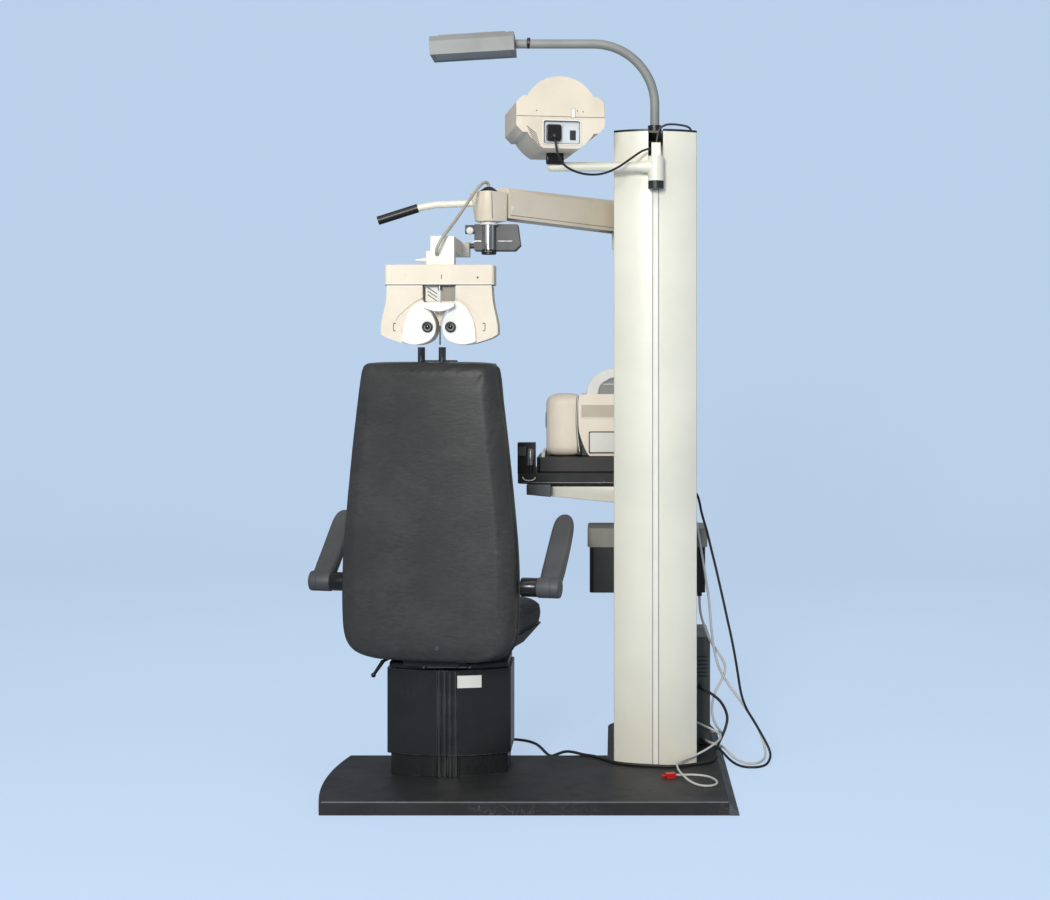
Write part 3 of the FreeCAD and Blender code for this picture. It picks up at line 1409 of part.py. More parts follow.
def phoropter_mount():
    """The sleeve that turns under the knuckle, the cross slide on it, and the carrier."""
    gap, x, y = S.running_gap, S.knuckle_x, S.knuckle_y
    bottom = S.post_sleeve_bottom
    sleeve = cylinder("post_sleeve", S.post_sleeve_radius, S.knuckle_bottom - gap - bottom, x, y, bottom)
    knob = cylinder("post_knob", S.post_knob_radius, S.post_knob_height, x, y,
                    bottom - S.post_knob_height)
    bore_bottom = bottom - S.post_knob_height + gap * 2
    bore = cylinder("post_bore", S.stem_radius + gap, S.knuckle_bottom - bore_bottom + S.cut_overrun,
                    x, y, bore_bottom)
    node("phoropter_post", cut("post", fused("post_whole", sleeve, knob), bore))

    body = new_body("slide_block")
    bevel = S.slide_chamfer
    padded(body, "slide_block", "front", S.slide_front, S.slide_back, [
        (S.slide_left, S.slide_bottom),
        (S.slide_right - bevel, S.slide_bottom),
        (S.slide_right, S.slide_bottom + bevel),
        (S.slide_right - bevel / 2, S.slide_top),
        (S.slide_left, S.slide_top),
    ])
    sleeve_room = cylinder("sleeve_room", S.post_sleeve_radius, S.slide_top, x, y, S.slide_bottom / 2)
    rod_height = S.slide_bottom + S.rail_height_up
    rod_y = (S.slide_front + S.slide_back) / 2
    carrier_right = S.slide_left - S.slide_chamfer
    rod_left = (S.carrier_left + carrier_right) / 2
    rail = cylinder("slide_rail", S.rail_radius, S.slide_left - rod_left + S.rail_radius, rod_left,
                    rod_y, rod_height, "x")
    turn_knob = cylinder("slide_knob", S.slide_knob_radius, S.slide_knob_length,
                         S.slide_left - S.slide_knob_length, rod_y,
                         S.slide_top - S.slide_knob_radius + gap, "x")
    block_cut = cut("slide_cut", fused("slide_whole", body, rail, turn_knob), sleeve_room)
    node("cross_slide", block_cut)

    front, back = S.phoropter_y - S.hanger_depth / 2, S.slide_back - S.slide_chamfer
    inner_x = S.phoropter_x + S.hanger_width / 2
    carrier = new_body("carrier_plate")
    padded(carrier, "carrier_plate", "top", S.carrier_bottom, S.carrier_bottom + S.carrier_thickness, [
        (S.carrier_left, front),
        (inner_x, front),
        (inner_x, S.slide_front + S.carrier_wall),
        (carrier_right, S.slide_front + S.carrier_wall * 2),
        (carrier_right, back),
        (S.carrier_left, back),
    ])
    hanger = block("hanger", S.phoropter_x - S.hanger_width / 2, inner_x, front,
                   front + S.hanger_depth, S.bridge_top, S.carrier_bottom)
    rail_room = cylinder("rail_room", S.rail_radius + gap, carrier_right - rod_left + S.slide_chamfer * 2,
                         rod_left - S.slide_chamfer, rod_y, rod_height, "x")
    node("phoropter_carrier", cut("carrier", fused("carrier_whole", carrier, hanger), rail_room))


# Places on one half of the phoropter as shares of its width and height, from the middle and the top.
UNIT_OUTLINE_SHARES = {
    "inner_top": (0.285, 0),
    "outer_top": (0.895, 0),
    "shoulder": (0.9, 0.24),
    "outer_low": (1.0, 0.74),
    "heel": (0.985, 0.84),
    "toe": (0.64, 0.97),
    "bottom": (0.35, 1.0),
    "middle": (0.055, 0.63),
    "inner_low": (0.285, 0.26),
}


def phoropter_head():
    """The bridge, the two lens units with their face discs, and the forehead rest."""
    gap, x, y, deep = S.running_gap, S.phoropter_x, S.phoropter_y, S.phoropter_half_depth
    bridge = new_body("bridge")
    shell = padded(bridge, "bridge", "top", S.bridge_bottom, S.bridge_top,
                   rectangle(x - S.bridge_half_width, x + S.bridge_half_width, y - deep, y + deep))
    eased(bridge, shell, "bridge", S.carrier_wall, upright)
    node("phoropter_bridge", bridge)
    front, top = y - deep, S.bridge_bottom - gap
    ring_height = S.eyepiece_height
    for side, name in ((-1, "left"), (1, "right")):
        def at(share_x, share_z):
            return (x + S.unit_outer * side * share_x, top - S.unit_height * share_z)

        spots = {key: at(*shares) for key, shares in UNIT_OUTLINE_SHARES.items()}
        swell = S.unit_disc_radius * UNIT_BOW_SHARE
        order = [
            spots["inner_top"],
            spots["outer_top"],
            spots["shoulder"],
            spots["outer_low"],
            spots["heel"],
            spots["toe"],
            (*spots["bottom"], None),
            (*spots["middle"], None),
            spots["inner_low"],
        ]
        if side > 0:
            corners = [corner[:2] for corner in reversed(order)]
            corners[1] = (*corners[1], swell)
            corners[0] = (*corners[0], swell * UNIT_UPPER_BOW_SHARE)
        else:
            corners = [corner[:2] for corner in order]
            corners[6] = (*corners[6], swell)
            corners[7] = (*corners[7], swell * UNIT_UPPER_BOW_SHARE)
        unit = new_body(f"unit_{name}")
        padded(unit, f"unit_{name}", "front", front, y + deep, corners)
        disc_x = x + S.unit_disc_offset * side
        disc = new_body(f"disc_{name}")
        padded(disc, f"disc_{name}", "front", front - S.disc_proud, front,
               superellipse(disc_x, S.disc_height, S.disc_half_width, S.disc_half_height))
        eye_x = x + S.eyepiece_offset * side
        seat_hole = cylinder(f"eye_seat_{name}", S.eyepiece_radius, S.eyepiece_bore + S.disc_proud,
                             eye_x, front - S.disc_proud, ring_height, "y")
        eye = cylinder(f"eye_{name}", S.eyepiece_radius, S.eyepiece_bore + S.eyepiece_proud + S.disc_proud,
                       eye_x, front - S.disc_proud - S.eyepiece_proud, ring_height, "y")
        lens_hole = cylinder(f"eye_hollow_{name}", S.eyepiece_radius - S.disc_proud / 2,
                             S.eyepiece_proud, eye_x, front - S.disc_proud - S.eyepiece_proud,
                             ring_height, "y")
        plates = cut(f"unit_bored_{name}", fused(f"unit_and_disc_{name}", unit, disc), seat_hole)
        ring = cut(f"eyepiece_ring_{name}", eye, lens_hole)
        node(f"phoropter_unit_{name}", grouped(f"unit_whole_{name}", plates, ring))
    rest_front = front - S.disc_proud - S.forehead_gap - S.forehead_depth
    pad_bottom = S.forehead_top - S.forehead_height
    pad = new_body("forehead_pad")
    padded(pad, "forehead_pad", "front", rest_front, rest_front + S.forehead_depth, [
        (x - S.forehead_half, S.forehead_top - S.forehead_height / 3, S.forehead_height / 2),
        (x + S.forehead_half, S.forehead_top - S.forehead_height / 3),
        (x + S.forehead_half, S.forehead_top),
        (x - S.forehead_half, S.forehead_top),
    ])
    rod_y = front + S.rod_radius * 3
    rod = cylinder("forehead_rod", S.rod_radius, S.bridge_bottom - pad_bottom, x, rod_y, pad_bottom)
    strut = cylinder("forehead_strut", S.rod_radius, rod_y - rest_front - S.rod_radius, x,
                     rest_front + S.rod_radius, S.forehead_top - S.rod_radius * 2, "y")
    node("forehead_rest", fused("forehead", pad, rod, strut))


UNIT_BOW_SHARE = 0.42
UNIT_UPPER_BOW_SHARE = 0.3


def superellipse(x, z, half_width, half_height):
    """An oval of four arcs between its widest and tallest places."""
    swell_x, swell_z = half_width * OVAL_SHARE, half_height * OVAL_SHARE
    swell = (swell_x + swell_z) / 2
    return [
        (x - half_width, z, swell),
        (x, z - half_height, swell),
        (x + half_width, z, swell),
        (x, z + half_height, swell),
    ]


OVAL_SHARE = 0.27


def table():
    """The bracket behind the column, the sliding table top and what stands on it."""
    back = S.column_y + S.column_half_side + S.column_bulge
    front, deep, gap = S.bracket_front, S.bracket_depth, S.running_gap
    right = S.column_x + S.bracket_plate_width / 2
    body = new_body("bracket_arm")
    padded(body, "bracket_arm", "front", front, front + deep, [
        (S.bracket_left, S.bracket_tip_bottom),
        (S.column_x - S.column_half_width, S.bracket_root_bottom),
        (right, S.bracket_root_bottom),
        (right, S.bracket_top),
        (S.bracket_left, S.bracket_top),
    ])
    rail_half = S.rail_half
    middle = front + deep / 2
    rail = block("table_rail", S.bracket_left, right, middle - rail_half, middle + rail_half,
                 S.bracket_top, S.table_bottom - gap)
    plate = block("table_root", S.column_x - S.bracket_plate_width / 2, right, back, front,
                  S.bracket_root_bottom, S.bracket_top)
    node("table_bracket", fused("table_arm", body, rail, plate))
    top = S.table_bottom + S.table_thickness
    slab = rounded_block("slab", S.table_left, S.table_right, S.table_front, S.table_back,
                         S.table_bottom, top, S.table_corner)
    node("table_top", slab)
    side = S.joystick_block
    x, y = S.table_left + side / 2, S.joystick_y
    box = block("switch_block", S.table_left, S.table_left + side, S.joystick_y - side / 2,
                S.joystick_y + side / 2, top, top + S.joystick_block_height)
    stick = cylinder("switch_stem", S.joystick_radius, S.joystick_height, x + side / 4,
                     S.joystick_y - side / 2 - S.joystick_radius, top)
    node("table_switch_box", fused("switch_box", box, stick))
    base_top = top + S.console_base_height
    base = rounded_block("console_base", S.console_left, S.console_right, S.console_front,
                         S.console_back, top, base_top, S.console_corner / 2)
    node("instrument_base", base)
    inset = S.console_corner
    shell = new_body("console_shell")
    padded(shell, "console_shell", "top", base_top + gap, S.console_top,
           rounded_rectangle(S.console_left + inset, S.console_right, S.console_front + inset,
                             S.console_back - inset, S.console_corner))
    arch = new_body("console_arch")
    arch_left = S.chin_left
    padded(arch, "console_arch", "front", S.chin_front, S.chin_front + S.chin_width, [
        (arch_left, S.console_top),
        (S.console_right, S.console_top),
        (S.console_right, S.chin_height),
        (arch_left + S.chin_thickness * 3, S.chin_height),
        (arch_left, S.chin_height - S.chin_thickness * 2),
    ])
    node("instrument_body", grouped("console", shell, arch))


def power_boxes():
    """The control box on the back of the column and the transformer on the plate below it."""
    lip, split = S.control_lip, S.control_split
    left, right, front, back = S.control_left, S.control_right, S.control_front, S.control_back
    box = new_body("control_body")
    padded(box, "control_body", "top", S.control_bottom, split,
           rounded_rectangle(left + lip, right - lip, front, back, S.control_corner))
    column_back = S.column_y + S.column_half_side + S.column_bulge
    half = S.bracket_plate_width / 2
    spacer = block("control_spacer", S.column_x - half, S.column_x + half, column_back, front,
                   S.control_bottom + S.control_corner, split - S.control_corner)
    lid = rounded_block("control_lid", left, right, front, back, split, S.control_top, S.control_corner)
    node("control_box", grouped("control", fused("control_base", box, spacer), lid))
    node("transformer_box", rounded_block(
        "transformer", S.transformer_left, S.transformer_right, S.transformer_front,
        S.transformer_back, S.base_thickness, S.transformer_top, S.transformer_corner))


def finish():
    """Builds every piece, checks them all and writes one file for each."""
    for make in (base_plate, base_edge_trim, pedestal_covers, lift_column, seat, backrest,
                 armrests, brake_lever, headrest, column, lamp, projector, phoropter_arm,
                 phoropter_mount, phoropter_head, table, power_boxes, cords):
        make()
        DOC.recompute()
        print(make.__name__, len(NODES))
    for thing in DOC.Objects:
        if {"Invalid", "Error"} & set(thing.State):
            raise RuntimeError(f"{thing.Name} failed: {thing.State}")
    os.makedirs("parts", exist_ok=True)
    for name, thing in NODES.items():
        shape = thing.Shape
        if shape.isNull() or not shape.isValid() or not shape.Solids:
            raise RuntimeError(f"{name} has no sound solid")
        shape.exportStep(f"parts/{name}.step")
        print(f"{name}: {len(shape.Solids)} solid(s), {shape.Volume / 1000:.1f} cm3")


# The routes of the free cords, in millimetres, chosen by eye from the photographed runs.
PROJECTOR_CORD = [
    (280.66, -142.5, 1714), (283, -156, 1713.2), (286, -164, 1692), (292, -160, 1661),
    (305, -152, 1640), (330, -140, 1625), (366, -122, 1617), (407, -97, 1621), (447, -70, 1641),
    (486, -42, 1672), (520, -23, 1698), (546, -20, 1701),
]
PHOROPTER_CABLE = [
    (111, -150, 1579.4), (110.8, -150.5, 1588.5), (105.5, -158, 1594.5), (96, -172, 1590),
    (84, -199, 1572), (66, -248, 1534), (42, -313, 1484), (24, -358, 1451), (10, -374, 1429),
    (1, -377, 1411), (-3, -368, 1398), (-4, -357, 1393.8), (-4, -347.6, 1393.5),
]
TOP_CABLE = [
    (550, 16, 1678.2), (551, 17, 1712), (556, 22, 1744), (562, 30, 1762), (580, 48, 1774),
    (602, 66, 1777), (628, 90, 1777), (644, 107, 1775), (651, 115, 1768), (652, 116, 1756.5),
]
CABLE_A = [
    (622.7, 228, 750), (636, 227.5, 752.5), (650, 223, 761), (664, 215, 762), (674, 209, 748),
    (679.5, 206.5, 727), (684, 205, 700), (699.6, 205, 649), (711, 205, 600), (723.6, 205, 550),
    (735, 205, 500), (746.7, 205, 448), (758, 205, 396), (769.6, 205, 344), (779, 205, 294),
    (787, 205, 245), (795, 205, 190), (809.7, 205, 147.7), (832, 205, 112.7), (861.9, 200, 61.9),
    (880, 190, 24), (869, 158, 6), (850, 125, 3.6), (818, 112, 3.6), (786, 128, 3.6),
    (760, 155, 14), (732, 188, 42), (706, 212, 43.5), (688, 231, 48), (684.5, 255.6, 50),
]
CABLE_B = [
    (622.7, 240, 733), (636, 239, 731), (650, 233, 720), (662, 220, 699), (670, 210, 672),
    (676, 205, 640), (685.5, 205, 580), (693, 205, 536), (699.6, 205, 494), (705, 207, 460),
    (708, 209, 424), (712, 212, 378), (718, 218, 321), (732, 222, 262), (758, 222, 217),
    (787, 222, 178), (821, 222, 130), (849, 222, 84), (862, 216, 45), (866, 200, 15),
    (850, 176, 3.6), (828, 155, 3.6), (803, 160, 3.6), (775, 184, 12), (745, 210, 41),
    (720, 222, 45), (702, 236, 48), (699, 255.6, 48),
]
CABLE_C = [
    (680, 240, 460.7), (680.3, 240.2, 438), (683, 240, 412), (691, 240, 382), (713, 242, 327),
    (740, 244, 292), (757, 244, 256), (745, 243, 222), (724, 238, 190), (713, 230, 146),
    (720, 228, 105), (738, 242, 78), (746, 268, 66), (742, 288, 62.5), (729, 299, 62),
    (712.4, 300, 62),
]
RED_LEAD = [
    (660, 243.6, 110), (660.8, 231, 109.7), (671, 219, 106), (694, 206, 98), (724, 184, 89),
    (738, 150, 82), (725, 112, 76), (700, 68, 70), (664, 26, 60), (628, 2, 53), (606, -22, 48),
    (606, -60, 48), (608, -100, 48), (616, -135, 46), (630, -172, 40), (650, -208, 37.1),
    (680, -224, 37.1), (705, -202, 37.1), (704, -160, 37.1), (685, -118, 37.1), (650, -102, 37.1),
    (622, -108, 38), (598.4, -115.9, 40),
]
MAINS_CABLE = [
    (680, 243.5, 201), (680.7, 231, 200.8), (691, 220.5, 198.5), (710, 217, 190), (742, 214, 165),
    (760, 212, 124), (752, 206, 92), (742, 196, 72), (728, 160, 56), (716, 110, 42),
    (706.6, 36, 38.2), (659, 9, 38.2), (601, -20, 38.2), (545, -10, 38.2), (488, 4, 38.2),
    (444, 22, 38.2), (417, 58, 38.2), (385, 100, 38.2), (350, 118, 38.5), (326, 136, 41),
    (302, 160, 38), (280, 184, 25), (258, 225, 7), (240, 290, 4.2), (225, 350, 4.2),
    (206, 405, 4.2), (172, 445, 4.2), (115, 463, 4.2), (78, 461, 5.5), (46, 458.5, 12),
    (20.5, 458, 14.5),
]

# An arc starts and ends this share of the shorter of its two runs away from its corner.
CORD_ARC_SHARE = 0.45


def cord(name, diameter, places):
    """A round cord along straight runs joined by tangent arcs."""
    radius = plain(diameter) / 2
    spots = [Vector(*spot) for spot in places]
    edges, radii, start = [], [], spots[0]
    for before, here, after in zip(spots, spots[1:], spots[2:]):
        back, ahead = (before - here).normalize(), (after - here).normalize()
        reach = CORD_ARC_SHARE * min((before - here).Length, (after - here).Length)
        half_angle = back.getAngle(ahead) / 2
        arc_radius_here = reach * math.tan(half_angle)
        towards = (back + ahead).normalize()
        middle = here + towards * (reach / math.cos(half_angle) - arc_radius_here)
        first, last = here + back * reach, here + ahead * reach
        edges.append(Part.LineSegment(start, first).toShape())
        edges.append(Part.Arc(first, middle, last).toShape())
        radii.append(arc_radius_here)
        start = last
    edges.append(Part.LineSegment(start, spots[-1]).toShape())
    path = Part.Wire(edges)
    ring = Part.Wire([Part.Circle(spots[0], spots[1] - spots[0], radius).toShape()])
    tube = DOC.addObject("Part::Feature", name)
    tube.Shape = path.makePipeShell([ring], True, False)
    ideal = math.pi * radius**2 * path.Length
    print(f"{name}: length {path.Length:.0f} mm, volume {tube.Shape.Volume / ideal:.4f} of its section "
          f"times its length, tightest radii {[round(r) for r in sorted(radii)[:4]]} mm")
    return node(name, tube)


def two_pins(name, radius, length, x, spacing, z):
    """A pair of pins that point along -X from the face at x."""
    return [cylinder(f"{name}_{i}", radius, length + radius, x - length, spacing * share, z, "x")
            for i, share in enumerate(PIN_PLACE_SHARES)]


PIN_PLACE_SHARES = (-0.25, 0.25)


def cords():
    """The free cords, the glands that they leave and the plugs on their ends."""
    wall, length, radius = S.column_x + S.bracket_plate_width / 2, S.gland_length, S.gland_radius
    face = S.transformer_front - length
    node("cable_glands", grouped(
        "glands",
        cylinder("gland_a", radius, length, wall, S.gland_a_y, S.gland_a_height, "x"),
        cylinder("gland_b", radius, length, wall, S.gland_b_y, S.gland_b_height, "x"),
        cylinder("gland_c", radius, length, S.gland_c_x, S.gland_c_y, S.control_bottom - length),
        cylinder("gland_mains", radius, length, S.mains_gland_x, face, S.mains_gland_height, "y"),
        cylinder("gland_red", radius, length, S.red_gland_x, face, S.red_gland_height, "y")))
    cord("projector_cord", S.projector_cord_diameter, PROJECTOR_CORD)
    cord("phoropter_cable", S.phoropter_cable_diameter, PHOROPTER_CABLE)
    cord("top_cable", S.top_cable_diameter, TOP_CABLE)
    cord("cable_a", S.cable_diameter, CABLE_A)
    cord("cable_b", S.cable_diameter, CABLE_B)
    cord("cable_c", S.cable_diameter, CABLE_C)
    cord("red_plug_lead", S.red_lead_diameter, RED_LEAD)
    cord("mains_cable", S.mains_diameter, MAINS_CABLE)
    base, width, height = S.base_thickness, S.red_plug_width, S.red_plug_height
    body = block("red_plug_body", -S.red_plug_length, ZERO, -width / 2, width / 2, base, base + height)
    pins = two_pins("red_pin", S.red_pin_radius, S.red_pin_length, -S.red_plug_length, width,
                    base + height / 2)
    where = (S.red_plug_x, S.red_plug_y, ZERO, S.red_plug_turn)
    node("red_plug", place(fused("red_plug_whole", body, *pins), where))
    side = S.mains_plug_side
    body = block("mains_plug_body", -S.mains_plug_length, ZERO, -side / 2, side / 2, ZERO, side)
    pins = two_pins("mains_pin", S.mains_pin_radius, S.mains_pin_length, -S.mains_plug_length, side,
                    side / 2)
    where = (S.mains_plug_x, S.mains_plug_y, ZERO, ZERO)
    node("mains_plug", place(fused("mains_plug_whole", body, *pins), where))


finish()
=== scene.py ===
import json
import math

import bmesh
import bpy
from mathutils import Matrix, Vector
from mathutils.bvhtree import BVHTree


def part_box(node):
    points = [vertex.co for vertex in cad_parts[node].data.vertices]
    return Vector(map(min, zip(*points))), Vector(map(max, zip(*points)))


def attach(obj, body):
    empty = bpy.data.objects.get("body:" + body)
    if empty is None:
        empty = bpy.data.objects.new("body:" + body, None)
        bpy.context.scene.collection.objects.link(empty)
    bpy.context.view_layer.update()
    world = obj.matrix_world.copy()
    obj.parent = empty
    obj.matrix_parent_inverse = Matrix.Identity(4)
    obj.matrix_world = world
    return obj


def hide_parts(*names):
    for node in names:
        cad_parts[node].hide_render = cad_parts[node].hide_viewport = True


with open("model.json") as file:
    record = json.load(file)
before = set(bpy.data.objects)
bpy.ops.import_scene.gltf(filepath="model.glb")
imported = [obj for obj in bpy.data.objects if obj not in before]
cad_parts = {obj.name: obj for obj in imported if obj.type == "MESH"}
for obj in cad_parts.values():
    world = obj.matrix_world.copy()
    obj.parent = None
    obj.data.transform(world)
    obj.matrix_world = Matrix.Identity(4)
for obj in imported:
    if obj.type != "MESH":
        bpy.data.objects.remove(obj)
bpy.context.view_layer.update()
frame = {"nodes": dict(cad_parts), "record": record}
nodes = frame["nodes"]
print("frame loaded:", len(nodes), "nodes")


def placed(name, data):
    thing = bpy.data.objects.new(name, data)
    bpy.context.scene.collection.objects.link(thing)
    return thing


# camera: the photograph's viewpoint, behind the chair


def setCamera():
    camera = bpy.data.cameras.new("camera")
    camera.lens, camera.sensor_width = 57.05, 36
    camera.shift_x, camera.shift_y = -0.0857, -0.0829
    camera.clip_start, camera.clip_end = 0.05, 60
    stand = placed("camera", camera)
    stand.location = (0.440, -4.491, 1.123)
    stand.rotation_euler = (math.radians(90), 0, 0)
    bpy.context.scene.camera = stand


setCamera()

# cords: name of the node, route in metres, and what the cord is
cordRoutes = {
    "projector_cord": [
        (0.2807, -0.1425, 1.714), (0.283, -0.156, 1.7132), (0.286, -0.164, 1.692), (0.292, -0.16, 1.661),
        (0.305, -0.152, 1.64), (0.33, -0.14, 1.625), (0.366, -0.122, 1.617), (0.407, -0.097, 1.621),
        (0.447, -0.07, 1.641), (0.486, -0.042, 1.672), (0.52, -0.023, 1.698), (0.546, -0.02, 1.701)],
    "phoropter_cable": [
        (0.111, -0.15, 1.5794), (0.1108, -0.1505, 1.5885), (0.1055, -0.158, 1.5945), (0.096, -0.172, 1.59),
        (0.084, -0.199, 1.572), (0.066, -0.248, 1.534), (0.042, -0.313, 1.484), (0.024, -0.358, 1.451),
        (0.01, -0.374, 1.429), (0.001, -0.377, 1.411), (-0.003, -0.368, 1.398), (-0.004, -0.357, 1.3938),
        (-0.004, -0.3476, 1.3935)],
    "top_cable": [
        (0.55, 0.016, 1.6782), (0.551, 0.017, 1.712), (0.556, 0.022, 1.744), (0.562, 0.03, 1.762),
        (0.58, 0.048, 1.774), (0.602, 0.066, 1.777), (0.628, 0.09, 1.777), (0.644, 0.107, 1.775),
        (0.651, 0.115, 1.768), (0.652, 0.116, 1.7565)],
    "cable_a": [
        (0.6227, 0.228, 0.75), (0.636, 0.2275, 0.7525), (0.65, 0.223, 0.761), (0.664, 0.215, 0.762),
        (0.674, 0.209, 0.748), (0.6795, 0.2065, 0.727), (0.684, 0.205, 0.7), (0.6996, 0.205, 0.649),
        (0.711, 0.205, 0.6), (0.7236, 0.205, 0.55), (0.735, 0.205, 0.5), (0.7467, 0.205, 0.448),
        (0.758, 0.205, 0.396), (0.7696, 0.205, 0.344), (0.779, 0.205, 0.294), (0.787, 0.205, 0.245),
        (0.795, 0.205, 0.19), (0.8097, 0.205, 0.1477), (0.832, 0.205, 0.1127), (0.8619, 0.2, 0.0619),
        (0.88, 0.19, 0.024), (0.869, 0.158, 0.006), (0.85, 0.125, 0.0036), (0.818, 0.112, 0.0036),
        (0.786, 0.128, 0.0036), (0.76, 0.155, 0.014), (0.732, 0.188, 0.042), (0.706, 0.212, 0.0435),
        (0.688, 0.231, 0.048), (0.6845, 0.2556, 0.05)],
    "cable_b": [
        (0.6227, 0.24, 0.733), (0.636, 0.239, 0.731), (0.65, 0.233, 0.72), (0.662, 0.22, 0.699),
        (0.67, 0.21, 0.672), (0.676, 0.205, 0.64), (0.6855, 0.205, 0.58), (0.693, 0.205, 0.536),
        (0.6996, 0.205, 0.494), (0.705, 0.207, 0.46), (0.708, 0.209, 0.424), (0.712, 0.212, 0.378),
        (0.718, 0.218, 0.321), (0.732, 0.222, 0.262), (0.758, 0.222, 0.217), (0.787, 0.222, 0.178),
        (0.821, 0.222, 0.13), (0.849, 0.222, 0.084), (0.862, 0.216, 0.045), (0.866, 0.2, 0.015),
        (0.85, 0.176, 0.0036), (0.828, 0.155, 0.0036), (0.803, 0.16, 0.0036), (0.775, 0.184, 0.012),
        (0.745, 0.21, 0.041), (0.72, 0.222, 0.045), (0.702, 0.236, 0.048), (0.699, 0.2556, 0.048)],
    "cable_c": [
        (0.68, 0.24, 0.4607), (0.6803, 0.2402, 0.438), (0.683, 0.24, 0.412), (0.691, 0.24, 0.382),
        (0.713, 0.242, 0.327), (0.74, 0.244, 0.292), (0.757, 0.244, 0.256), (0.745, 0.243, 0.222),
        (0.724, 0.238, 0.19), (0.713, 0.23, 0.146), (0.72, 0.228, 0.105), (0.738, 0.242, 0.078),
        (0.746, 0.268, 0.066), (0.742, 0.288, 0.0625), (0.729, 0.299, 0.062), (0.7124, 0.3, 0.062)],
    "red_plug_lead": [
        (0.66, 0.2436, 0.11), (0.6608, 0.231, 0.1097), (0.671, 0.219, 0.106), (0.694, 0.206, 0.098),
        (0.724, 0.184, 0.089), (0.738, 0.15, 0.082), (0.725, 0.112, 0.076), (0.7, 0.068, 0.07),
        (0.664, 0.026, 0.06), (0.628, 0.002, 0.053), (0.606, -0.022, 0.048), (0.606, -0.06, 0.048),
        (0.608, -0.1, 0.048), (0.616, -0.135, 0.046), (0.63, -0.172, 0.04), (0.65, -0.208, 0.0371),
        (0.68, -0.224, 0.0371), (0.705, -0.202, 0.0371), (0.704, -0.16, 0.0371), (0.685, -0.118, 0.0371),
        (0.65, -0.102, 0.0371), (0.622, -0.108, 0.038), (0.5984, -0.1159, 0.04)],
    "mains_cable": [
        (0.68, 0.2435, 0.201), (0.6807, 0.231, 0.2008), (0.691, 0.2205, 0.1985), (0.71, 0.217, 0.19),
        (0.742, 0.214, 0.165), (0.76, 0.212, 0.124), (0.752, 0.206, 0.092), (0.742, 0.196, 0.072),
        (0.728, 0.16, 0.056), (0.716, 0.11, 0.042), (0.7066, 0.036, 0.0382), (0.659, 0.009, 0.0382),
        (0.601, -0.02, 0.0382), (0.545, -0.01, 0.0382), (0.488, 0.004, 0.0382), (0.444, 0.022, 0.0382),
        (0.417, 0.058, 0.0382), (0.385, 0.1, 0.0382), (0.35, 0.118, 0.0385), (0.326, 0.136, 0.041),
        (0.302, 0.16, 0.038), (0.28, 0.184, 0.025), (0.258, 0.225, 0.007), (0.24, 0.29, 0.0042),
        (0.225, 0.35, 0.0042), (0.206, 0.405, 0.0042), (0.172, 0.445, 0.0042), (0.115, 0.463, 0.0042),
        (0.078, 0.461, 0.0055), (0.046, 0.4585, 0.012), (0.0205, 0.458, 0.0145)],
}
# cord: diameter, length of the CAD tube, body, far end, stiffness, lay, slot
cordFacts = {
    "projector_cord": (0.006, 0.394, "projector_head", "object", "medium", "hanging", "cable_black"),
    "phoropter_cable": (0.008, 0.366, "phoropter_swivel", "object", "medium", "hanging", "cable_beige"),
    "top_cable": (0.006, 0.225, "stand", "object", "medium", "loose", "cable_beige"),
    "cable_a": (0.007, 1.138, "stand", "object", "medium", "hanging", "cable_black"),
    "cable_b": (0.007, 1.031, "stand", "object", "medium", "hanging", "cable_white"),
    "cable_c": (0.007, 0.498, "stand", "object", "medium", "hanging", "cable_white"),
    "red_plug_lead": (0.006, 0.785, "stand", "connector", "limp", "loose", "cable_white"),
    "mains_cable": (0.008, 1.311, "stand", "plug", "medium", "loose", "cable_black"),
}
cordCurves = {}


def tube(name, points, radius, closed=False, smooth=True):
    curve = bpy.data.curves.new(name, "CURVE")
    curve.dimensions = "3D"
    line = curve.splines.new("NURBS" if smooth else "POLY")
    line.points.add(len(points) - 1)
    for point, place in zip(line.points, points):
        point.co = (*place, 1)
        point.radius = radius
    if smooth:
        line.order_u = 3
        line.use_endpoint_u = not closed
    line.use_cyclic_u = closed
    curve.bevel_depth, curve.bevel_resolution = 1, 3
    curve.use_fill_caps = not closed
    return placed(name, curve)


for name, route in cordRoutes.items():
    diameter, length, body, farEnd, stiffness, lay, slot = cordFacts[name]
    cord = tube(name, route, diameter / 2)
    cord.name = name + "_line"
    cord.data.bevel_resolution, cord.data.splines[0].resolution_u = 4, 8
    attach(cord, body)
    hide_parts(name)
    cordCurves[name] = cord
print("cords laid:", len(cordCurves))

# finishes: the effects that several materials share are node groups


def tone(red, green, blue):
    def linear(value):
        value /= 255
        return value / 12.92 if value <= 0.04045 else ((value + 0.055) / 1.055) ** 2.4
    return (linear(red), linear(green), linear(blue), 1)


def addNode(tree, kind, values=None, **settings):
    item = tree.nodes.new(kind)
    for name, value in settings.items():
        setattr(item, name, value)
    for key, value in (values or {}).items():
        if isinstance(value, bpy.types.NodeSocket):
            tree.links.new(value, item.inputs[key])
        else:
            item.inputs[key].default_value = value
    return item


def startGroup(name, inputs, outputs):
    tree = bpy.data.node_groups.new(name, "ShaderNodeTree")
    for label, kind, value in inputs:
        socket = tree.interface.new_socket(label, in_out="INPUT", socket_type="NodeSocket" + kind)
        socket.default_value = value
    for label, kind in outputs:
        tree.interface.new_socket(label, in_out="OUTPUT", socket_type="NodeSocket" + kind)
    return tree, tree.nodes.new("NodeGroupInput").outputs, tree.nodes.new("NodeGroupOutput").inputs


def mathNode(tree, operation, *values, clamp=False):
    return addNode(tree, "ShaderNodeMath", dict(enumerate(values)), operation=operation,
        use_clamp=clamp).outputs[0]


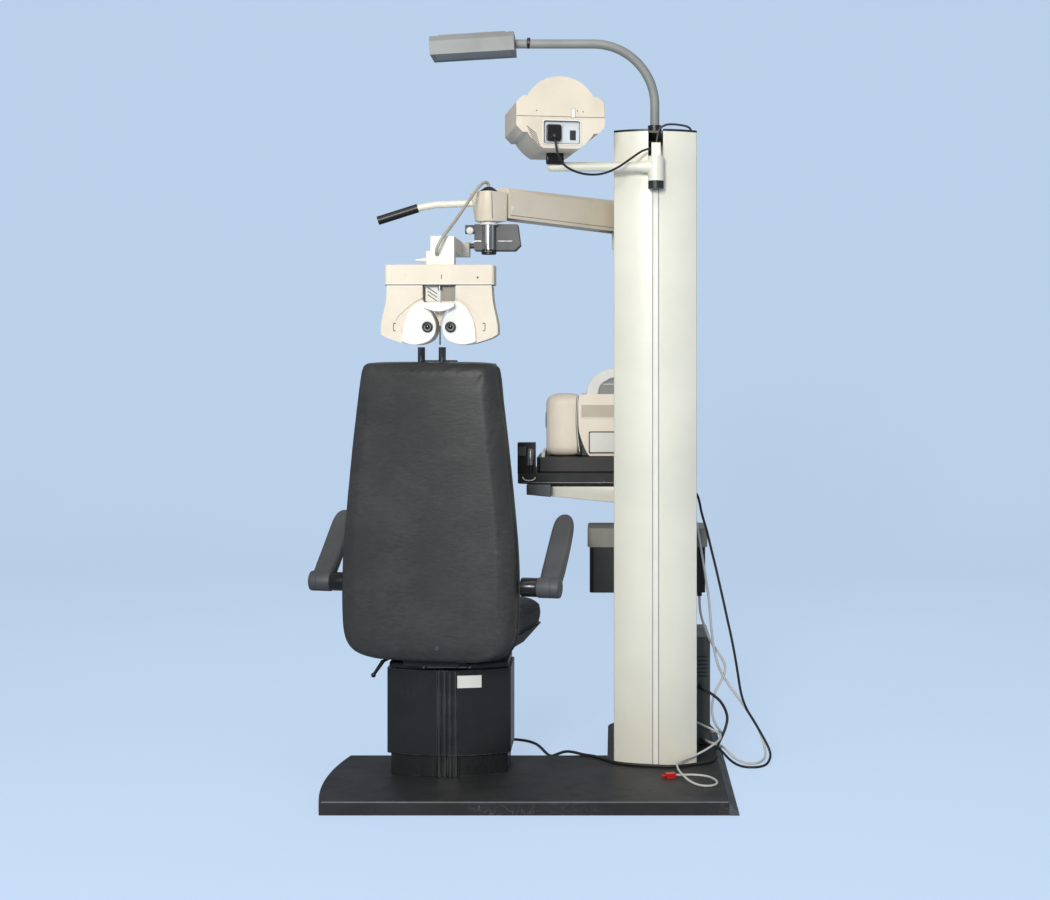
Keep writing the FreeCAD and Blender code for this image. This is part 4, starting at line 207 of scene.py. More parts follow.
def objectPlace(tree, stretch=(1, 1, 1), turn=(0, 0, 0)):
    spot = addNode(tree, "ShaderNodeTexCoord").outputs["Object"]
    return addNode(tree, "ShaderNodeMapping", {"Vector": spot, "Scale": stretch, "Rotation": turn}).outputs[0]


def noise(tree, scale, detail=3, stretch=(1, 1, 1), turn=(0, 0, 0), rough=0.55):
    return addNode(tree, "ShaderNodeTexNoise", {
        "Vector": objectPlace(tree, stretch, turn), "Scale": scale, "Detail": detail,
        "Roughness": rough}).outputs["Fac"]


def ramp(tree, value, low, high):
    return addNode(tree, "ShaderNodeMapRange", {"Value": value, "From Min": low, "From Max": high},
                   interpolation_type="SMOOTHSTEP").outputs[0]


def mixed(tree, share, first, second):
    mixer = addNode(tree, "ShaderNodeMix", data_type="RGBA")
    for key, value in ((0, share), (6, first), (7, second)):
        if isinstance(value, bpy.types.NodeSocket):
            tree.links.new(value, mixer.inputs[key])
        else:
            mixer.inputs[key].default_value = value
    return mixer.outputs[2]


def surfaceGroup():
    tree, given, out = startGroup("surface tone", [
        ("Colour", "Color", (1, 1, 1, 1)), ("Shade", "Color", (1, 1, 1, 1)), ("Patch", "Float", 6),
        ("Grain", "Float", 900), ("Roughness", "Float", 0.5), ("Spread", "Float", 0.1)],
        [("Colour", "Color"), ("Roughness", "Float"), ("Height", "Float")])
    patch = noise(tree, given["Patch"], 4)
    grain = noise(tree, given["Grain"], 2)
    tree.links.new(mixed(tree, ramp(tree, patch, 0.3, 0.72), given["Colour"], given["Shade"]), out["Colour"])
    swing = mathNode(tree, "MULTIPLY", mathNode(tree, "SUBTRACT", patch, 0.5), given["Spread"])
    tree.links.new(mathNode(tree, "ADD", given["Roughness"], swing, clamp=True), out["Roughness"])
    tree.links.new(grain, out["Height"])
    return tree


def wearGroup():
    tree, given, out = startGroup("edge wear", [
        ("Radius", "Float", 0.002), ("Amount", "Float", 0.5), ("Break", "Float", 60)], [("Mask", "Float")])
    rounded = addNode(tree, "ShaderNodeBevel", {"Radius": given["Radius"]}, samples=4).outputs[0]
    flat = addNode(tree, "ShaderNodeNewGeometry").outputs["Normal"]
    along = addNode(tree, "ShaderNodeVectorMath", {0: rounded, 1: flat},
        operation="DOT_PRODUCT").outputs["Value"]
    edge = ramp(tree, mathNode(tree, "SUBTRACT", 1, along), 0.02, 0.22)
    broken = ramp(tree, noise(tree, given["Break"], 5, rough=0.7), 0.42, 0.62)
    tree.links.new(mathNode(tree, "MULTIPLY", mathNode(tree, "MULTIPLY", edge, broken), given["Amount"],
        clamp=True), out["Mask"])
    return tree


def dustGroup():
    tree, given, out = startGroup("dust and smudges", [("Dust", "Float", 0.3), ("Smudge", "Float", 0.2),
        ("Size", "Float", 9)], [("Mask", "Float"), ("Smudge", "Float")])
    facing = addNode(tree, "ShaderNodeNewGeometry").outputs["Normal"]
    up = addNode(tree, "ShaderNodeSeparateXYZ", {0: facing}).outputs["Z"]
    cloud = ramp(tree, noise(tree, given["Size"], 6, rough=0.65), 0.35, 0.75)
    level = mathNode(tree, "MULTIPLY", ramp(tree, up, 0.25, 0.95), cloud)
    tree.links.new(mathNode(tree, "MULTIPLY", level, given["Dust"], clamp=True), out["Mask"])
    wiped = ramp(tree, noise(tree, mathNode(tree, "MULTIPLY", given["Size"], 2.3), 4, (1, 1, 0.35),
        (0.4, 0.2, 0)), 0.5, 0.72)
    tree.links.new(mathNode(tree, "MULTIPLY", wiped, given["Smudge"], clamp=True), out["Smudge"])
    return tree


def scratchGroup():
    tree, given, out = startGroup("scratches", [
        ("Amount", "Float", 0.3), ("Scale", "Float", 14)], [("Mask", "Float")])
    lines = []
    for turn, stretch in (((0, 0, 0.5), (1, 14, 1)), ((0.3, 0.2, -0.8), (16, 1, 3)), ((0, 0.5, 1.3),
            (1, 18, 2))):
        thread = noise(tree, given["Scale"], 2, stretch, turn)
        near = mathNode(tree, "ABSOLUTE", mathNode(tree, "SUBTRACT", thread, 0.5))
        lines.append(ramp(tree, near, 0.004, 0.0))
    patch = ramp(tree, noise(tree, 7, 3), 0.48, 0.62)
    joined = mathNode(tree, "MAXIMUM", mathNode(tree, "MAXIMUM", lines[0], lines[1]), lines[2])
    tree.links.new(mathNode(tree, "MULTIPLY", mathNode(tree, "MULTIPLY", joined, patch), given["Amount"],
        clamp=True), out["Mask"])
    return tree


def leatherGroup():
    tree, given, out = startGroup("leather skin", [
        ("Pebble", "Float", 900), ("Crease", "Float", 45), ("Depth", "Float", 0.6)],
        [("Height", "Float"), ("Tone", "Float")])
    cells = addNode(tree, "ShaderNodeTexVoronoi", {
        "Vector": objectPlace(tree), "Scale": given["Pebble"], "Randomness": 1},
        feature="F1").outputs["Distance"]
    creases = noise(tree, given["Crease"], 5, (1, 1, 3.6), rough=0.6)
    broad = noise(tree, 7, 3, (1, 1, 1.8))
    wrinkled = mathNode(tree, "MULTIPLY", mathNode(tree, "ADD", creases, mathNode(tree, "MULTIPLY", broad,
        1.2)), given["Depth"])
    tree.links.new(mathNode(tree, "ADD", wrinkled, mathNode(tree, "MULTIPLY", cells, 0.1)), out["Height"])
    tree.links.new(ramp(tree, mathNode(tree, "MULTIPLY", mathNode(tree, "ADD", creases, broad), 0.5), 0.36,
        0.64), out["Tone"])
    return tree


groups = {"surface": surfaceGroup(), "wear": wearGroup(), "dust": dustGroup(),
          "scratch": scratchGroup(), "leather": leatherGroup()}


def groupIn(tree, group, values):
    item = tree.nodes.new("ShaderNodeGroup")
    item.node_tree = groups[group]
    for key, value in values.items():
        item.inputs[key].default_value = value
    return item.outputs


def finish(name, colour, shade, rough, metal=0.0, spread=0.1, patch=6, grain=900, bump=0.05, wear=0,
        wornTo=None, wearRadius=0.0015, wearBreak=60, dust=0, smudge=0, dustTone=(0.45, 0.43, 0.39, 1),
        scratch=0, scratchTo=(0.3, 0.3, 0.3, 1), leather=0, brushed=0, specular=None):
    colour, shade = tone(*colour), tone(*shade)
    material = bpy.data.materials.new(name)
    material.use_nodes = True
    tree = material.node_tree
    shader = tree.nodes["Principled BSDF"]
    base = groupIn(tree, "surface", {"Colour": colour, "Shade": shade, "Patch": patch, "Grain": grain,
                                     "Roughness": rough, "Spread": spread})
    look, roughness, height = base["Colour"], base["Roughness"], base["Height"]
    if leather:
        skin = groupIn(tree, "leather", {"Pebble": grain, "Depth": leather})
        height = skin["Height"]
        look = mixed(tree, skin["Tone"], shade, look)
    if wear:
        mask = groupIn(tree, "wear", {"Amount": wear, "Radius": wearRadius, "Break": wearBreak})["Mask"]
        look = mixed(tree, mask, look, wornTo)
    if scratch:
        mask = groupIn(tree, "scratch", {"Amount": scratch})["Mask"]
        look = mixed(tree, mask, look, scratchTo)
    if dust or smudge:
        film = groupIn(tree, "dust", {"Dust": dust, "Smudge": smudge})
        look = mixed(tree, film["Mask"], look, dustTone)
        roughness = mathNode(tree, "ADD", roughness, mathNode(tree, "MULTIPLY", film["Smudge"], 0.25),
            clamp=True)
    if brushed:
        lines = noise(tree, 260, 2, (0.04, 1, 1))
        roughness = mathNode(tree, "ADD", roughness, mathNode(
            tree, "MULTIPLY", mathNode(tree, "SUBTRACT", lines, 0.5), brushed), clamp=True)
    tree.links.new(look, shader.inputs["Base Color"])
    tree.links.new(roughness, shader.inputs["Roughness"])
    relief = addNode(tree, "ShaderNodeBump", {"Height": height, "Strength": bump, "Distance": 0.002})
    tree.links.new(relief.outputs[0], shader.inputs["Normal"])
    shader.inputs["Metallic"].default_value = metal
    if specular is not None:
        shader.inputs["Specular IOR Level"].default_value = specular
    return material


finishes = {
    # the black laminate's edge wear goes near white: partly real wear, partly a painted highlight along the
    # base's top front edge
    "black_laminate": finish("black laminate", (46, 47, 48), (36, 37, 38), 0.5, bump=0.12, grain=1400,
                             wear=0.95, wornTo=tone(212, 212, 206), wearRadius=0.003, scratch=0.5,
                             scratchTo=tone(120, 120, 118), dust=0.15, smudge=0.3, dustTone=tone(90, 88, 82),
                             specular=0.25),
    "aluminium_trim": finish("ramp trim", (96, 99, 102), (74, 77, 80), 0.5, metal=0.6, bump=0.1, wear=0.6,
                             wornTo=tone(170, 172, 172), scratch=0.4, scratchTo=tone(150, 150, 150), dust=0.3),
    # the pedestal enamel's edge wear is a painted highlight: a lighter grey along the covers' rounded top edges
    "pedestal_black": finish("pedestal enamel", (38, 39, 39), (30, 31, 32), 0.16, bump=0.04, smudge=0.35,
                             wear=0.7, wornTo=tone(118, 121, 124), wearRadius=0.005, wearBreak=9,
                             dust=0.15, scratch=0.1),
    "bare_steel": finish("bare steel", (158, 160, 160), (120, 122, 124), 0.34, metal=1, bump=0.06,
                         brushed=0.3, smudge=0.3),
    "black_paint": finish("satin black paint", (34, 35, 36), (25, 26, 27), 0.45, bump=0.1, wear=0.35,
                          wornTo=tone(95, 95, 95), smudge=0.3, dust=0.2),
    "seat_leather": finish("seat leather", (66, 66, 64), (52, 52, 51), 0.42, bump=0.3, grain=1500,
                           leather=0.7, smudge=0.12, spread=0.1, specular=0.3),
    "arm_pu": finish("moulded arm rubber", (79, 80, 81), (65, 66, 67), 0.5, bump=0.12, grain=1800,
                     smudge=0.3, wear=0.15, wornTo=tone(110, 112, 112)),
    "post_steel": finish("dark satin rod", (98, 104, 106), (84, 90, 93), 0.32, metal=0.7, bump=0.03,
                         brushed=0.2, smudge=0.3, wear=0.2, wornTo=tone(150, 152, 152)),
    "chrome_rod": finish("polished rod", (190, 192, 194), (165, 168, 172), 0.16, metal=1, bump=0.02,
                         smudge=0.35, brushed=0.12),
    "ivory_paint": finish("ivory paint", (229, 226, 209), (218, 216, 200), 0.36, bump=0.05, grain=420,
                          patch=3.2, smudge=0.35, wear=0.2, wornTo=tone(190, 186, 170), scratch=0.06,
                          scratchTo=tone(186, 180, 164)),
    "white_strip": finish("white cover strip", (234, 231, 219), (224, 221, 208), 0.45, bump=0.03, patch=9),
    "satin_silver": finish("satin grey enamel", (146, 148, 145), (130, 132, 128), 0.6, metal=0.1, bump=0.05,
                           smudge=0.3, wear=0.3, wornTo=tone(205, 205, 200)),
    # the frosted lamp glass is toned mid grey: painted shade for the unlit underside of the lamp head
    "lamp_glass": finish("frosted lamp glass in painted shade", (150, 154, 152), (132, 136, 134), 0.35, bump=0.04),
    "beige_plastic": finish("beige plastic", (221, 209, 188), (209, 196, 175), 0.5, bump=0.1, grain=1500,
                            smudge=0.3, wear=0.12, wornTo=tone(242, 234, 218), dust=0.15),
    "blue_panel": finish("pale panel", (208, 214, 214), (192, 200, 204), 0.4, bump=0.05),
    "black_plastic": finish("black plastic", (30, 31, 32), (22, 23, 24), 0.35, bump=0.12, grain=1600,
                            smudge=0.3, wear=0.15, wornTo=tone(70, 70, 70)),
    "lens": finish("coated lens", (24, 26, 34), (16, 18, 26), 0.06, bump=0.01, smudge=0.2),
    "white_plastic": finish("white plastic", (228, 227, 219), (216, 214, 204), 0.4, bump=0.06, grain=1500,
                            smudge=0.25),
    "grey_paint": finish("hammered grey paint", (84, 85, 84), (70, 71, 70), 0.5, bump=0.16, grain=380,
                         wear=0.3, wornTo=tone(130, 130, 128), dust=0.3, smudge=0.2),
    "cable_black": finish("black cable", (32, 33, 34), (24, 25, 26), 0.5, bump=0.08, smudge=0.3),
    "cable_white": finish("white cable", (206, 205, 200), (178, 178, 174), 0.5, bump=0.08, smudge=0.4),
    "cable_beige": finish("beige cable", (178, 172, 158), (152, 147, 136), 0.5, bump=0.08, smudge=0.4),
    "transformer_lid": finish("box lid", (142, 140, 127), (126, 124, 112), 0.45, bump=0.08, smudge=0.3,
                              dust=0.3),
    "plug_gloss": finish("glossy black moulding", (26, 27, 28), (20, 21, 22), 0.18, bump=0.04, smudge=0.25),
    "boss_gloss": finish("polished black boss", (40, 42, 44), (32, 34, 36), 0.22, metal=0.3, bump=0.04,
                         smudge=0.3, brushed=0.12),
    # a lighter copy of beige plastic for the instrument's drum and case: painted light, brightening a part that
    # sits in shade
    "beige_painted_lighter": finish("beige plastic, painted lighter", (240, 228, 209), (232, 218, 198), 0.4, bump=0.08, grain=1500,
                               smudge=0.3, dust=0.2),
    "instrument_band": finish("darker beige", (198, 184, 164), (188, 174, 154), 0.45, bump=0.08),
    "groove_shade": finish("groove", (160, 153, 136), (140, 134, 118), 0.6),
    "red_moulding": finish("red moulding", (205, 28, 30), (178, 20, 22), 0.35, bump=0.06, smudge=0.2),
}
print("finishes made:", len(finishes))


def dress(thing, look):
    thing.data.materials.clear()
    thing.data.materials.append(finishes[look])


for part in frame["record"]["subparts"]:
    dress(nodes[part["node"]], part["material_slot"])
for name, cord in cordCurves.items():
    dress(cord, cordFacts[name][6])

# making pieces: a mesh rides its body, with its slot and, where it isn't the slot's own, another look

chairTurn = Matrix.Rotation(math.radians(-12.8), 4, "Z")
bevelFrom, sharpFrom = math.radians(28), math.radians(38)
upward, toCamera, fromCamera = (0, 0, 1), (0, -1, 0), (0, 1, 0)


def piece(name, mesh, body, slot, *replaced, bevel=0, rounds=0, turn=None, look=None):
    data = bpy.data.meshes.new(name)
    bmesh.ops.recalc_face_normals(mesh, faces=mesh.faces)
    mesh.to_mesh(data)
    mesh.free()
    if turn is not None:
        data.transform(turn)
    thing = placed(name, data)
    dress(thing, look or slot)
    if bevel:
        edge = thing.modifiers.new("bevel", "BEVEL")
        edge.width, edge.segments, edge.limit_method, edge.angle_limit = bevel, 3, "ANGLE", bevelFrom
    if rounds:
        fine = thing.modifiers.new("rounds", "SUBSURF")
        fine.levels = fine.render_levels = rounds
    data.shade_smooth()
    if not rounds:
        data.set_sharp_from_angle(angle=sharpFrom)
    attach(thing, body)
    if replaced:
        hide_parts(*replaced)
    return thing


def loft(rings):
    mesh = bmesh.new()
    rows = [[mesh.verts.new(point) for point in ring] for ring in rings]
    count = len(rings[0])
    for below, above in zip(rows, rows[1:]):
        for i in range(count):
            j = (i + 1) % count
            mesh.faces.new((below[i], below[j], above[j], above[i]))
    mesh.faces.new(rows[0][::-1])
    mesh.faces.new(rows[-1])
    return mesh


def roundRect(x0, x1, y0, y1, radii, steps=8):
    if not isinstance(radii, (tuple, list)):
        radii = (radii,) * 4
    ring = []
    corners = ((x1, y0, -90, radii[0]), (x1, y1, 0, radii[1]), (x0, y1, 90, radii[2]), (x0, y0, 180, radii[3]))
    for x, y, start, radius in corners:
        middleX = x - radius if x == x1 else x + radius
        middleY = y - radius if y == y1 else y + radius
        for i in range(steps + 1):
            angle = math.radians(start + 90 * i / steps)
            ring.append((middleX + radius * math.cos(angle), middleY + radius * math.sin(angle)))
    return ring


def lathe(profile, steps=48):
    rings = [[(r * math.cos(a), r * math.sin(a), z) for a in (2 * math.pi * i / steps for i in range(steps))]
             for r, z in profile]
    return loft(rings)


def aimed(mesh, spot, direction):
    turn = Vector((0, 0, 1)).rotation_difference(Vector(direction)).to_matrix().to_4x4()
    bmesh.ops.transform(mesh, matrix=Matrix.Translation(spot) @ turn, verts=mesh.verts)
    return mesh


def turned(profile, steps, spot, direction):
    return aimed(lathe(profile, steps), spot, direction)


def block(low, high):
    mesh = bmesh.new()
    bmesh.ops.create_cube(mesh, size=1)
    size = [high[i] - low[i] for i in range(3)]
    middle = [(high[i] + low[i]) / 2 for i in range(3)]
    bmesh.ops.scale(mesh, vec=size, verts=mesh.verts)
    bmesh.ops.translate(mesh, vec=middle, verts=mesh.verts)
    return mesh


def strand(name, points, radius, body, slot, closed=False, turn=None, smooth=True):
    if turn is not None:
        points = [turn @ Vector(place) for place in points]
    thing = tube(name, points, radius, closed, smooth)
    dress(thing, slot)
    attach(thing, body)


def onBody(body, **fixed):
    def fit(name, mesh, slot, *replaced, **more):
        return piece(name, mesh, body, slot, *replaced, **fixed, **more)
    return fit


def spread(table, share):
    for (a, *low), (b, *high) in zip(table, table[1:]):
        if share <= b:
            t = (share - a) / (b - a)
            return [p + (q - p) * t for p, q in zip(low, high)]
    return list(table[-1][1:])


def surfaceOf(thing):
    mesh = bmesh.new()
    mesh.from_mesh(thing.data)
    tree = BVHTree.FromBMesh(mesh)
    mesh.free()
    return tree


onHead = onBody("phoropter_shift")
onInstrument = onBody("instrument")
onStand = onBody("stand")
onLift = onBody("lift")
onSwivel = onBody("phoropter_swivel")
onTable = onBody("table")

# soft goods: lofted a little small, remeshed, blown up as cloth, then capped


def puff(pad, voxel, pressure, cap, frames=20):
    for step in list(pad.modifiers):
        pad.modifiers.remove(step)
    pad.data.remesh_voxel_size = voxel
    bpy.context.view_layer.objects.active = pad
    pad.select_set(True)
    bpy.ops.object.voxel_remesh()
    pad.select_set(False)
    ease = pad.modifiers.new("ease", "SMOOTH")
    ease.factor, ease.iterations = 0.5, 4
    bpy.ops.object.modifier_apply(modifier="ease")
    start = [vert.co.copy() for vert in pad.data.vertices]
    cloth = pad.modifiers.new("cloth", "CLOTH")
    made = cloth.settings
    made.quality, made.mass = 5, 0.4
    made.use_pressure, made.uniform_pressure_force = True, pressure
    made.tension_stiffness = made.compression_stiffness = 14
    made.shear_stiffness, made.bending_stiffness = 8, 0.6
    made.effector_weights.gravity = 0
    cloth.collision_settings.use_collision = False
    scene = bpy.context.scene
    for step in range(1, frames + 1):
        scene.frame_set(step)
    shaped = bpy.data.meshes.new_from_object(pad.evaluated_get(bpy.context.evaluated_depsgraph_get()))
    pad.modifiers.remove(cloth)
    for vert, moved, at in zip(pad.data.vertices, shaped.vertices, start):
        shift = moved.co - at
        if shift.length > cap:
            shift *= cap / shift.length
        vert.co = at + shift
    bpy.data.meshes.remove(shaped)
    scene.frame_set(1)
    pad.data.shade_smooth()
    fine = pad.modifiers.new("fine", "SUBSURF")
    fine.levels = fine.render_levels = 1


backLevels = ((0, 0.66, 0.55), (0.006, 0.76, 0.34), (0.014, 0.835, 0.2), (0.028, 0.9, 0.1),
    (0.048, 0.947, 0.03), (0.075, 0.975, 0), (0.1, 0.988, 0), (0.14, 0.996, 0), (0.22, 1, 0), (0.36, 0.99, 0),
    (0.55, 0.935, 0), (0.75, 0.865, 0), (0.9, 0.805, 0), (0.972, 0.775, 0.05), (0.99, 0.765, 0.25),
    (1, 0.735, 0.6))
back = {"bottom": 0.356, "height": 0.767, "half": 0.239, "rear": -0.225, "split": -0.172, "front": -0.116,
        "corner": 0.030, "rearCorner": 0.047, "crown": 0.010, "frontCrown": 0.010, "inset": 0.003}


def backRing(share, rear):
    width, draw = spread(backLevels, share)
    half, drawIn, z = back["half"] * width, back["corner"] * draw, back["bottom"] + back["height"] * share
    if rear:
        side, r, crown = -1, back["rearCorner"], back["crown"]
        near, seam = back["rear"] + drawIn, back["split"]
    else:
        side, r, crown = 1, back["corner"], back["frontCrown"]
        near, seam = back["front"] - drawIn, back["split"] + 0.0006
        half -= back["inset"]
    quarter = [math.radians(90 * i / 8) for i in range(9)]
    ring = [(side * (half - r + r * math.cos(a)), near - side * r + side * r * math.sin(a)) for a in quarter]
    for i in range(1, 20):
        x = side * ((half - r) - 2 * (half - r) * i / 20)
        ring.append((x, near + side * crown * (1 - (x / (half - r)) ** 2)))
    ring += [(-side * (half - r + r * math.sin(a)), near - side * r + side * r * math.cos(a)) for a in quarter]
    ring += [(-side * (half - 2 * half * i / 12), seam) for i in range(13)]
    return [(x, y, z) for x, y in ring]


def makeBack():
    shares = [0, 0.004, 0.01, 0.02, 0.035, 0.055, 0.075, 0.1, 0.13, 0.17, 0.22, 0.28, 0.36, 0.44, 0.5, 0.55,
        0.62, 0.7, 0.75, 0.82, 0.9, 0.94, 0.972, 0.982, 0.99, 0.996, 1]
    shell = piece("back_rear_cover", loft([backRing(s, True) for s in shares]), "chair", "seat_leather",
                  "backrest_shell", turn=chairTurn)
    puff(shell, 0.006, 0.8, 0.004)
    front = piece("back_front_pad", loft([backRing(s, False) for s in shares]), "chair", "seat_leather",
                  "backrest_cushion", turn=chairTurn)
    puff(front, 0.006, 3, 0.008)
    seam = []
    for share in shares[2:-1:2]:
        seam.append((back["half"] * spread(backLevels, share)[0], back["bottom"] + back["height"] * share))
    ring = [(x, back["split"], z) for x, z in seam] + [(-x, back["split"], z) for x, z in seam[::-1]]
    strand("back_piping", ring, 0.0022, "chair", "seat_leather", closed=True, turn=chairTurn)


seat = {"half": 0.205, "back": -0.104, "front": 0.270, "rearCorner": 0.030, "frontCorner": 0.105,
        "bottom": 0.3972, "top": 0.459, "crown": 0.008}
headPad = {"half": 0.118, "rear": -0.102, "front": -0.052, "bottom": 1.000, "top": 1.120}


def makeSeat():
    rows = []
    tall = seat["top"] - seat["bottom"]
    for share, draw, lift in ((0, 0.012, 0), (0.1, 0.005, 0), (0.25, 0.002, 0), (0.5, 0, 0), (0.72, 0.001, 0),
            (0.88, 0.005, 0), (0.96, 0.011, 0), (1, 0.02, 0), (1, 0.045, 0.003), (1, 0.09, 0.006),
            (1, 0.15, 0.0075)):
        corners = [max(0.012, c - draw) for c in (seat["rearCorner"], seat["frontCorner"])]
        ring = roundRect(-seat["half"] + draw, seat["half"] - draw, seat["back"] + draw, seat["front"] - draw,
                         (corners[0], corners[1], corners[1], corners[0]), 10)
        z = seat["bottom"] + tall * share + lift
        rows.append([(x, y, z) for x, y in ring])
    pad = piece("seat_pad", loft(rows), "chair", "seat_leather", "seat_cushion", turn=chairTurn)
    puff(pad, 0.006, 4, 0.007)
    skin = surfaceOf(pad)
    for name, draw, height in (("seat_piping_top", 0.004, 0.449), ("seat_piping_low", 0.002, 0.404)):
        ring = roundRect(-seat["half"] + draw, seat["half"] - draw, seat["back"] + draw, seat["front"] - draw,
                         (0.026, 0.1, 0.1, 0.026), 6)
        middle = Vector((0, (seat["back"] + seat["front"]) / 2, height))
        line = []
        for x, y in ring:  # the piping lies where the padded side really is
            out = (Vector((x, y, height)) - middle).normalized()
            start, inward = chairTurn @ (middle + out * 0.6), -(chairTurn.to_3x3() @ out)
            line.append(skin.ray_cast(start, inward)[0])
        strand(name, line, 0.0022, "chair", "seat_leather", closed=True)


def makeHeadPad():
    rows = []
    for share, draw in ((0, 0.022), (0.03, 0.012), (0.09, 0.004), (0.2, 0), (0.5, -0.001), (0.8, 0),
            (0.91, 0.004), (0.97, 0.012), (1, 0.022)):
        ring = roundRect(-headPad["half"] + draw, headPad["half"] - draw, headPad["rear"] + draw * 0.8,
                         headPad["front"] - draw, 0.016, 6)
        z = headPad["bottom"] + (headPad["top"] - headPad["bottom"]) * share
        rows.append([(x, y, z) for x, y in ring])
    pad = piece("head_pad", loft(rows), "headrest", "seat_leather", "headrest_cushion", turn=chairTurn)
    puff(pad, 0.005, 4, 0.005)


makeBack()
makeSeat()
makeHeadPad()
print("soft goods made")


def extrude(outline, low, high, upright=False):
    return loft([[(a, b, c) if upright else (a, c, b) for a, b in outline] for c in (low, high)])


def slab(x0, x1, z0, z1, radius, steps, low, high):
    return extrude(roundRect(x0, x1, z0, z1, radius, steps), low, high)


def smoothLoop(points, steps, sharp):
    count, ring = len(points), []
    for i in range(count):
        a, b, c, d = (Vector(points[(i + k) % count]) for k in (-1, 0, 1, 2))
        if i in sharp:
            a = b
        if (i + 1) % count in sharp:
            d = c
        for k in range(steps):
            t = k / steps
            ring.append(tuple(0.5 * (2 * b + (c - a) * t + (2 * a - 5 * b + 4 * c - d) * t * t
                                     + (3 * b - a - 3 * c + d) * t ** 3)))
    return ring


def join(whole, other):
    data = bpy.data.meshes.new("part")
    other.to_mesh(data)
    other.free()
    whole.from_mesh(data)
    bpy.data.meshes.remove(data)
    return whole


def flute(mesh, beyond, ribs, keep):  # every other strip of the rim lies deeper
    for vert in mesh.verts:
        along = math.atan2(vert.co.y, vert.co.x) / (2 * math.pi) * ribs * 2
        if math.hypot(vert.co.x, vert.co.y) > beyond and round(along) % 2:
            vert.co.x *= keep
            vert.co.y *= keep


def tilted(mesh, degrees, spot):
    bmesh.ops.rotate(mesh, verts=mesh.verts, matrix=Matrix.Rotation(math.radians(degrees), 3, "Y"))
    bmesh.ops.translate(mesh, verts=mesh.verts, vec=spot)
    return mesh


def rod(radius, start, end, ease=0.0):
    start, end = Vector(start), Vector(end)
    tall = (end - start).length
    ease = min(ease, radius * 0.9, tall / 2)
    profile = [(radius - ease, 0), (radius - ease * 0.3, ease * 0.3), (radius, ease)] if ease else [(radius, 0)]
    profile += [(r, tall - z) for r, z in profile[::-1]]
    return turned(profile, 24, start, end - start)


def paintPart(node, slot, chosen):
    thing = nodes[node]
    thing.data.materials.append(finishes[slot])
    index = len(thing.data.materials) - 1
    for face in thing.data.polygons:
        if chosen(face.center):
            face.material_index = index


# phoropter: two halves with their face discs, eyepieces and the dials on the examiner's side

phoropter = {"middle": 0.0045, "top": 1.3155, "front": -0.369, "rear": -0.281, "eye": 0.0286,
    "eyeHeight": 1.212}
halfOutline = [(0.0413, 0), (0.1298, 0), (0.131, -0.022), (0.1335, -0.045), (0.1405, -0.078), (0.1445, -0.1),
               (0.1448, -0.1215), (0.127, -0.1315), (0.0928, -0.1425), (0.071, -0.1462), (0.05, -0.147),
               (0.031, -0.1418), (0.0155, -0.13), (0.0085, -0.112), (0.0085, -0.092), (0.0175, -0.0715),
               (0.0295, -0.0545), (0.0413, -0.0385)]
discOutline = [(0.0915, -0.139), (0.0897, -0.112), (0.0835, -0.084), (0.0705, -0.0585), (0.055, -0.0445),
               (0.0385, -0.0378), (0.0305, -0.0545), (0.0182, -0.071), (0.0092, -0.091), (0.0082, -0.11),
               (0.0142, -0.1272), (0.029, -0.1402), (0.054, -0.1468), (0.0755, -0.1452)]
mouldingOutline = [(0.0413, 0), (0.1298, 0), (0.131, -0.022), (0.1335, -0.045), (0.1405, -0.078),
    (0.1445, -0.1), (0.1448, -0.1215), (0.127, -0.1315), (0.0928, -0.1425), (0.092, -0.139), (0.0915, -0.118),
    (0.097, -0.1005), (0.1085, -0.0865), (0.0975, -0.0725), (0.0755, -0.0525), (0.056, -0.0385),
    (0.0413, -0.0315)]

# name, place across and up, radius, height, slot, ribs
farDials = [("wheel", 0.052, -0.1, 0.041, 0.010, "beige_plastic", 0),
            ("dial", 0.1085, -0.0985, 0.0235, 0.014, "white_plastic", 36),
            ("knob", 0.112, -0.046, 0.0165, 0.017, "black_plastic", 28),
            ("cylinder_knob", 0.073, -0.031, 0.0135, 0.013, "black_plastic", 24)]


